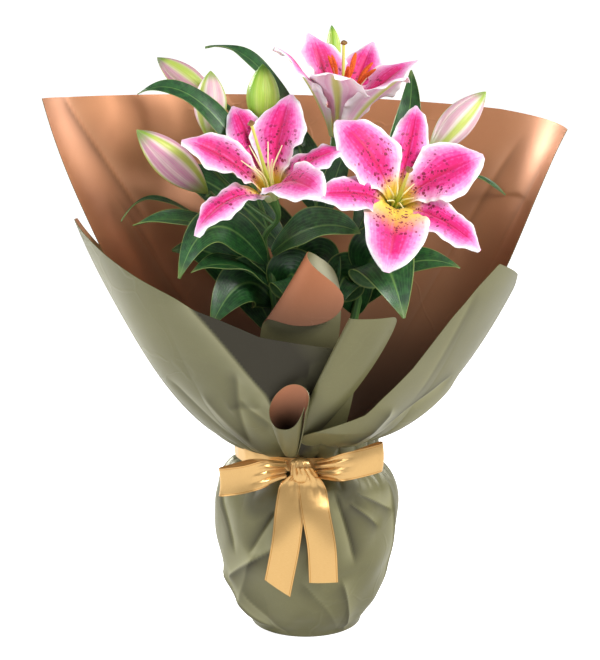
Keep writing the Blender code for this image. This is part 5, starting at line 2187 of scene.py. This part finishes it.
@dataclass(frozen=True)
class Strip:
    """A length of ribbon along a route of points in millimetres from the knot."""

    name: str
    route: tuple[Triple, ...]
    flat: Pair
    held: str
    both_ends: bool
    lean: float = 0.0
    flutter: float = 0.0
    width: float = 0.028
    thickness: float = 0.0007
    slant: float = 0.0
    lead: tuple[Triple, ...] = ()

    def spread(self, share: Array) -> Array:
        """Share of the full width at places along it."""
        near = np.minimum(share, 1 - share) / 0.22 if self.both_ends else share / 0.3
        return blend(0.6, 1.0, ease(0.0, 1.0, np.minimum(1.0, near)) if self.both_ends else np.minimum(1.0, near))

    def surface(self, knot: Array, rows: int, columns: int, fine: bool) -> Surface:
        """The strip's middle surface.

        Args:
            knot: Middle of the knot.
            rows: Points along.
            columns: Points across.
            fine: Whether to pleat and cup it.

        Returns:
            The surface.
        """
        share = np.linspace(0, 1, rows)
        route = (*self.lead, *self.route) if fine else self.route
        centre = knot + spline(np.array(route) / 1000, share)
        if self.both_ends:
            across = np.broadcast_to(UPRIGHT, centre.shape)
        else:
            across = np.stack([np.ones(rows), np.full(rows, 0.0), self.lean * share], 1)
            across = across / np.linalg.norm(across, axis=1, keepdims=True)
        over = np.linspace(-1, 1, columns)
        half = self.width / 2 * self.spread(share)
        heading = np.gradient(centre, axis=0)
        heading = heading / np.linalg.norm(heading, axis=1, keepdims=True)
        points = centre[:, None] + across[:, None] * (half[:, None] * over)[..., None]
        if fine:
            end = ease(0.90, 1.0, share)[:, None] * over * self.slant
            points = points + heading[:, None] * end[..., None]
        surface = Surface(points, (over + 1) / 2, share[:, None])
        if not fine:
            return surface
        near = np.minimum(share, 1 - share) / 0.30 if self.both_ends else share / 0.42
        tight = (1 - ease(0.0, 1.0, near))[:, None]
        pleat = 0.0019 * tight * np.cos(3 * math.pi * over + 0.4) + 0.0009 * tight * np.cos(7 * math.pi * over)
        pleat = pleat * (1.0 if self.both_ends else 0.45)
        cup = 0.0014 * (over**2 - 0.4) * (1 - tight)
        wave = self.flutter * np.sin(math.tau * (1.3 * share[:, None] + 0.1)) * over * (1 - tight)
        return surface.raised(pleat + cup + wave)

    def build(self, knot: Array) -> None:
        node = "bow_" + self.name
        shift = seat(node, self.surface(knot, 19 if self.both_ends else 8, 3, False).points)
        surface = self.surface(knot, 110, 25, True).moved(shift)
        side = np.abs(surface.across * 2 - 1)
        thick = self.thickness * (0.8 + 0.45 * np.exp(-(((side - 0.97) / 0.03) ** 2)))
        piece = settle("satin_" + self.name, surface.shell(thick), (SATIN, SATIN), (node,))


@dataclass(frozen=True)
class Bow:
    """The ribbon: a band round the neck, a gathered knot, two loops and two tails."""

    strips: tuple[Strip, ...] = (
        Strip(
            "left_loop",
            (
                *((-14.5, -3, 1), (-34, -18, 2), (-56, -21, -3), (-77, -13, -8)),
                *((-72, -4, -8), (-44, -5, 0), (-14.5, 3, 1)),
            ),
            (0.028, 0.150),
            "folded",
            True,
        ),
        Strip(
            "right_loop",
            ((14.5, -3, 2), (36, -22, 9), (58, -27, 15), (77, -22, 19), (73, -12, 18), (44, -14, 8), (14.5, 1, 1)),
            (0.028, 0.152),
            "folded",
            True,
        ),
        Strip(
            "left_tail",
            ((-7, -3, -14.5), (-11, -11, -38), (-15, -15, -72), (-23, -13, -116)),
            (0.028, 0.115),
            "hung",
            False,
            lean=-0.35,
            flutter=0.0022,
            slant=0.005,
            lead=((-3, -5, -4),),
        ),
        Strip(
            "right_tail",
            ((10, -4, -14.5), (14, -13, -38), (20, -17, -72), (22, -16, -109)),
            (0.028, 0.113),
            "hung",
            False,
            lean=-0.02,
            flutter=-0.0016,
            slant=-0.001,
            lead=((3, -10, 5),),
        ),
    )

    def build(self) -> None:
        """Builds the band, the knot, then each strip."""
        low, high = corners("ribbon_knot")
        knot = (low + high) / 2
        self.build_band()
        self.build_knot(knot, (high - low) / 2)
        for strip in self.strips:
            strip.build(knot)

    def build_band(self) -> None:
        """The band, drawn a little into the pleats of the paper."""
        low, high = corners("ribbon_band")
        columns = 220
        radius = (high[0] - low[0]) / 2 - 0.0004
        turn = around(columns) * math.tau
        places = np.linspace(0, 1, 15)[:, None]
        height = blend(low[2] + 0.0002, high[2] - 0.0002, places) + 0 * turn
        soft = 0.0004 * np.sin(14 * turn + 1.0) * np.sin(math.pi * places)
        size = radius - 0.0006 * (places - 0.5) ** 2 * 4 * np.ones_like(turn) - np.abs(soft)
        points = np.stack([size * np.cos(turn), size * np.sin(turn), height], 2)
        mesh = Surface(points, around(columns), places, True).shell(0.0007)
        piece = settle("satin_band", mesh, (SATIN, SATIN), ("ribbon_band",))

    def build_knot(self, middle: Array, half: Array) -> None:
        """The knot: ribbon wrapped over the middle, pinched into folds that run up and down.

        Args:
            middle: Its middle.
            half: Half of its size along each axis.
        """
        columns = 96
        turn = around(columns) * math.tau
        places = np.linspace(0.03, 0.97, 40)
        rings = []
        for place in places:
            rise = 2 * place - 1
            round_it = (1 - abs(rise) ** 2.8) ** (1 / 2.8)
            front = np.clip(-np.sin(turn), 0, 1) ** 0.6
            folds = 0.055 * np.cos(9 * turn + 0.9 * rise) * front
            folds = folds + 0.035 * np.cos(17 * turn - 1.4 * rise) * front
            waist = 1 - 0.10 * math.cos(math.pi * rise / 2) * np.abs(np.cos(turn))
            size = round_it * (0.95 + folds) * waist
            over = np.sign(np.cos(turn)) * np.abs(np.cos(turn)) ** 0.85
            deep = np.sign(np.sin(turn)) * np.abs(np.sin(turn)) ** 0.85
            x = middle[0] + half[0] * size * over
            y = middle[1] + half[1] * size * deep
            z = middle[2] + half[2] * rise * (1 - 0.10 * np.abs(np.cos(turn)))
            rings.append(np.stack([x, y, z], 1))
        surface = Surface(np.array(rings), around(columns), places[:, None], True)
        up = np.array(UPRIGHT) * half[2]
        mesh = surface.capped(middle - up, middle + up, 80.0)
        piece = settle("satin_knot", mesh, (SATIN,), ("ribbon_knot",))


# ---------------------------------------------------------------- pot and soil


@dataclass(frozen=True)
class Pot:
    """The nursery pot, its bulbs and its soil."""

    crumb_density: float = 90000.0
    perlite_density: float = 5200.0

    def build(self, nodes: dict[str, bpy.types.Object]) -> None:
        """Dresses the pot, bulbs and soil, and strews crumbs on the soil.

        Args:
            nodes: The frame's objects by name.
        """
        finishes = {"nursery_pot": POT_PLASTIC, "soil": SOIL}
        finishes.update({f"bulb_{name}": BULB_SKIN for name in ("left", "right", "back")})
        for name, finish in finishes.items():
            node = nodes[name]
            if not node.material_slots:
                node.data.materials.append(None)
            for held in node.material_slots:
                held.material = finish.material()
            LOG.info("%s: dressed with %s", name, finish.name)
        crumbs = Scatter("crumbs", Grain.PEBBLE, self.crumb_density, 0.0008, 0.0024, 0.8, 11)
        settle("soil_crumbs", crumbs.strewn(self.bed(), SOIL), (SOIL,))
        white = Scatter("perlite", Grain.PEBBLE, self.perlite_density, 0.0009, 0.0020, 0.9, 17)
        settle("soil_perlite", white.strewn(self.bed(), PERLITE), (PERLITE,))

    def bed(self) -> Mesh:
        """The soil's upper surface."""
        low, high = corners("soil")
        radius = (high[0] - low[0]) / 2 - 0.003
        rings = np.linspace(0.05, 1.0, 16)[:, None]
        turn = around(48) * math.tau
        height = high[2] - 0.003 * rings**2 + 0 * turn
        points = np.stack([radius * rings * np.cos(turn), radius * rings * np.sin(turn), height], 2)
        return Surface(points, around(48), rings, True).skin(True)


# ---------------------------------------------------------------- the plant


PINK_BUD = BudSkin(name="pink_bud")
HIGH_BUD = BudSkin(
    name="high_bud",
    skin=linear(216, 200, 178),
    blush=linear(196, 140, 160),
    rib=linear(176, 196, 80),
    tip=linear(84, 118, 44),
    rib_width=0.55,
)
WHITE_BUD = BudSkin(
    name="white_bud",
    skin=linear(236, 222, 214),
    blush=linear(220, 170, 190),
    rib=linear(190, 204, 96),
    tip=linear(140, 172, 66),
)
GREEN_BUD = BudSkin(
    name="green_bud",
    skin=linear(196, 216, 110),
    blush=linear(168, 200, 72),
    rib=linear(140, 186, 46),
    foot=linear(120, 170, 44),
    tip=linear(84, 136, 26),
    rib_width=0.5,
)


def tepals_of(flower: str, rows: Sequence[tuple], extra: dict[int, dict[str, float]]) -> tuple[Tepal, ...]:
    """The six tepals of a flower.

    Args:
        flower: Name of the flower.
        rows: Turn, opening, length in millimetres and whether it is a petal, for each.
        extra: Further settings, by the tepal's number.

    Returns:
        The tepals.
    """
    made = []
    for number, (turn, opened, length, inner) in enumerate(rows):
        kind = "petal" if inner else "sepal"
        node = f"lily_{flower}_{kind}_{number // 2 + 1}"
        settings = {"phase": 0.17 * number + 0.05 * len(flower), **extra.get(number, {})}
        made.append(Tepal(node, turn, opened, length / 1000, inner, **settings))
    return tuple(made)


FLOWERS = (
    Flower(
        "left",
        mm(-32, -42, 442),
        (-0.19, -0.51, 0.84),
        tepals_of(
            "left",
            (
                (-33, 99, 106, True), (17, 90, 92, False), (83, 72, 102, True),
                (127, 85, 104, False), (191, 62, 106, True), (245, 116, 109, False),
            ),
            {0: {"broad": 1.1}, 2: {"broad": 1.15}, 3: {"broad": 1.1}, 4: {"broad": 1.1}},
        ),
        mm(-51, -84, 518),
        16,
        0.058,
    ),
    Flower(
        "right",
        mm(84, -48, 435),
        (0.17, -0.79, 0.59),
        tepals_of(
            "right",
            (
                (-49, 99, 106, False), (13, 78, 101, True), (73, 102, 102, False),
                (130, 99, 106, True), (188, 92, 105, False), (252, 113, 106, True),
            ),
            {1: {"broad": 1.3}, 3: {"broad": 1.2}, 5: {"broad": 1.25, "face": TEPAL_FACE_GOLD}},
        ),
        mm(94, -105, 477),
        24,
        0.030,
    ),
    Flower(
        "back",
        mm(30, 10, 495),
        (0.18, -0.14, 0.97),
        tepals_of(
            "back",
            (
                (263, 52, 106, False), (322, 52, 108, True), (20, 45, 108, False),
                (81, 50, 108, True), (139, 56, 108, False), (202, 64, 105, True),
            ),
            {number: {"broad": 1.3} for number in range(6)},
        ),
        mm(36, 8, 588),
        14,
        0.070,
        True,
    ),
)

BUDS = {
    "left_low": Bud("left_low", mm(-96, 0, 441), mm(-162, -35, 507), 0.035, PINK_BUD, turn=200),
    "left_middle": Bud("left_middle", mm(-96, 24, 492), mm(-94, 32, 559), 0.032, WHITE_BUD, turn=250),
    "left_high": Bud("left_high", mm(-90, 56, 526), mm(-150, 66, 570), 0.027, HIGH_BUD, turn=215),
    "green": Bud("green", mm(-43, 12, 501), mm(-42, 10, 567), 0.032, GREEN_BUD, "bud_green", turn=262),
    "right": Bud("right", mm(120, 0, 478), mm(176, 10, 540), 0.032, WHITE_BUD, turn=240),
    "small": Bud("small", mm(30, 66, 559), mm(26, 72, 602), 0.014, GREEN_BUD, "bud_green"),
}

STEMS = (
    Stem(
        "left",
        (-0.030, -0.012),
        (mm(-31, -14, 214), mm(-28, -16, 294), mm(-33, -18, 354), mm(-41, -18, 398)),
        FLOWERS[0],
        ((0.74, BUDS["left_low"]), (0.84, BUDS["left_middle"]), (0.80, BUDS["left_high"])),
    ),
    Stem(
        "right",
        (0.032, -0.010),
        (mm(36, -10, 214), mm(44, -8, 294), mm(56, -6, 354), mm(70, -10, 394)),
        FLOWERS[1],
        ((0.82, BUDS["right"]),),
    ),
    Stem(
        "back",
        (0.001, 0.032),
        (mm(2, 32, 214), mm(3, 31, 314), mm(8, 28, 394), mm(16, 22, 444)),
        FLOWERS[2],
        ((0.80, BUDS["green"]), (0.83, BUDS["small"])),
    ),
)

UP = (0.0, -0.35, 1.0)
FRONT = (0.0, -1.0, 0.35)
BOTH = (0.0, -0.7, 0.7)

LEAVES = (
    Leaf("arching", mm(-2, 34, 484), mm(-46, 56, 626), mm(-101, 62, 580), 0.026, UP, full=0.9, sag=0.034),
    Leaf("high", mm(-46, -8, 454), mm(-108, -4, 570), mm(-164, 2, 538), 0.024, BOTH),
    Leaf("curled", mm(-38, -9, 344), mm(-150, 44, 476), mm(-180, -24, 417), 0.010, UP),
    Leaf("left", mm(-40, -20, 364), mm(-98, -36, 438), mm(-166, -52, 417), 0.030, UP, full=1.3),
    Leaf("drooping", mm(-40, -24, 376), mm(-92, -92, 464), mm(-119, -97, 374), 0.030, FRONT, full=1.3),
    Leaf("centre", mm(-33, -26, 386), mm(10, -70, 434), mm(51, -80, 414), 0.034, BOTH, full=1.3),
    Leaf("inner", mm(-36, -22, 349), mm(-70, -48, 392), mm(-110, -66, 374), 0.028, UP, full=1.4),
    Leaf("large", mm(58, -13, 364), mm(70, -80, 424), mm(91, -112, 339), 0.046, FRONT, full=1.45),
    Leaf("between", mm(14, 14, 414), mm(32, 0, 464), mm(42, -4, 498), 0.024, FRONT),
    Leaf("right", mm(64, 0, 374), mm(140, 62, 492), mm(204, 60, 432), 0.015, UP),
    Leaf("behind_right", mm(66, 4, 400), mm(110, 46, 500), mm(104, 40, 560), 0.032, FRONT, False),
    Leaf("behind_low", mm(56, 0, 330), mm(96, -20, 396), mm(150, -30, 372), 0.034, BOTH, False),
    Leaf("shade_left", mm(-30, -10, 330), mm(-60, -30, 390), mm(-92, -50, 318), 0.052, FRONT, False),
    Leaf("shade_middle", mm(-24, -8, 340), mm(-10, -40, 400), mm(-4, -58, 322), 0.052, FRONT, False),
    Leaf("shade_back", mm(10, 30, 340), mm(-40, 60, 430), mm(-110, 70, 440), 0.044, BOTH, False),
    Leaf("low_left", mm(-30, -12, 300), mm(-72, 0, 400), mm(-132, -10, 386), 0.046, FRONT, False),
    Leaf("low_centre", mm(0, 10, 330), mm(10, -6, 410), mm(30, -40, 352), 0.050, FRONT, False),
    Leaf("low_right", mm(50, 0, 320), mm(40, -30, 400), mm(26, -48, 330), 0.050, FRONT, False),
    Leaf("back_left", mm(-20, 20, 380), mm(-80, 50, 450), mm(-140, 40, 462), 0.044, FRONT, False),
    Leaf("back_centre", mm(10, 26, 420), mm(0, 50, 470), mm(-22, 44, 520), 0.040, FRONT, False),
    Leaf("back_right", mm(50, 10, 400), mm(84, 50, 470), mm(140, 50, 470), 0.040, FRONT, False),
)


# ---------------------------------------------------------------- studio


@dataclass(frozen=True)
class Studio:
    """A pale floor, soft lights and the camera."""

    distance: float = 1.70
    elevation: float = 12.0
    lens: float = 102.0
    aim: Triple = (-0.0060, 0.0, 0.304)

    def build(self) -> None:
        """Builds the camera, the floor, the world and the lights."""
        scene = bpy.context.scene
        data = bpy.data.cameras.new("view")
        data.lens = self.lens
        data.sensor_width = 36.0
        data.sensor_fit = "HORIZONTAL"
        data.clip_end = 200.0
        camera = link("view", data)
        rise = math.radians(self.elevation)
        aim = Vector(self.aim)
        camera.location = aim + Vector((0.0, -math.cos(rise), math.sin(rise))) * self.distance
        camera.rotation_euler = (aim - camera.location).to_track_quat("-Z", "Y").to_euler()
        scene.camera = camera
        self.build_floor()
        world = bpy.data.worlds.new("studio")
        scene.world = world
        world.use_nodes = True
        background = world.node_tree.nodes["Background"]
        background.inputs["Color"].default_value = WHITE
        background.inputs["Strength"].default_value = 0.36
        self.lamp("key", (1.05, -1.15, 1.35), 0.7, 34.0, (1.0, 0.985, 0.96))
        self.lamp("fill", (-1.35, -0.9, 0.75), 0.9, 10.0, (0.97, 0.985, 1.0))
        self.lamp("right_edge", (1.2, 0.8, 0.8), 0.7, 9.0, (1.0, 1.0, 1.0))
        self.lamp("left_edge", (-1.1, 0.8, 0.8), 0.6, 24.0, (1.0, 1.0, 1.0))
        scene.view_settings.view_transform = "Standard"
        scene.view_settings.look = "None"

    def build_floor(self) -> None:
        """A wide pale floor just under the paper."""
        mesh = bpy.data.meshes.new("floor")
        size = 80.0
        mesh.from_pydata([(-size, -size, 0), (size, -size, 0), (size, size, 0), (-size, size, 0)], [], [(0, 1, 2, 3)])
        mesh.materials.append(BACKDROP.material())
        link("floor", mesh)

    def lamp(self, name: str, spot: Triple, size: float, power: float, tint: tuple) -> None:
        """Adds a soft square light that faces the flowers.

        Args:
            name: Name of the light.
            spot: Where it stands.
            size: Side of its square.
            power: Its power in watts.
            tint: Its colour.
        """
        data = bpy.data.lights.new(name, "AREA")
        data.shape = "SQUARE"
        data.size = size
        data.energy = power
        data.color = tint
        light = link(name, data)
        light.location = spot
        light.rotation_euler = (Vector((0, 0, 0.32)) - light.location).to_track_quat("-Z", "Y").to_euler()


def main() -> None:
    """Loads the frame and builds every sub-assembly."""
    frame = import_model()
    Studio().build()
    Pot().build(frame["nodes"])
    for stem in STEMS:
        stem.build()
    for flower in FLOWERS:
        flower.build()
    for bud in BUDS.values():
        bud.build()
    for leaf in LEAVES:
        leaf.build()
    PotCover().build()
    for sheet in (BACK_SHEET, LEFT_SHEET, RIGHT_SHEET):
        sheet.build()
    InnerSheet().build()
    CentreRoll().build()
    FrontCurl().build()
    Bow().build()
    bpy.context.view_layer.update()


if __name__ == "__main__":
    main()
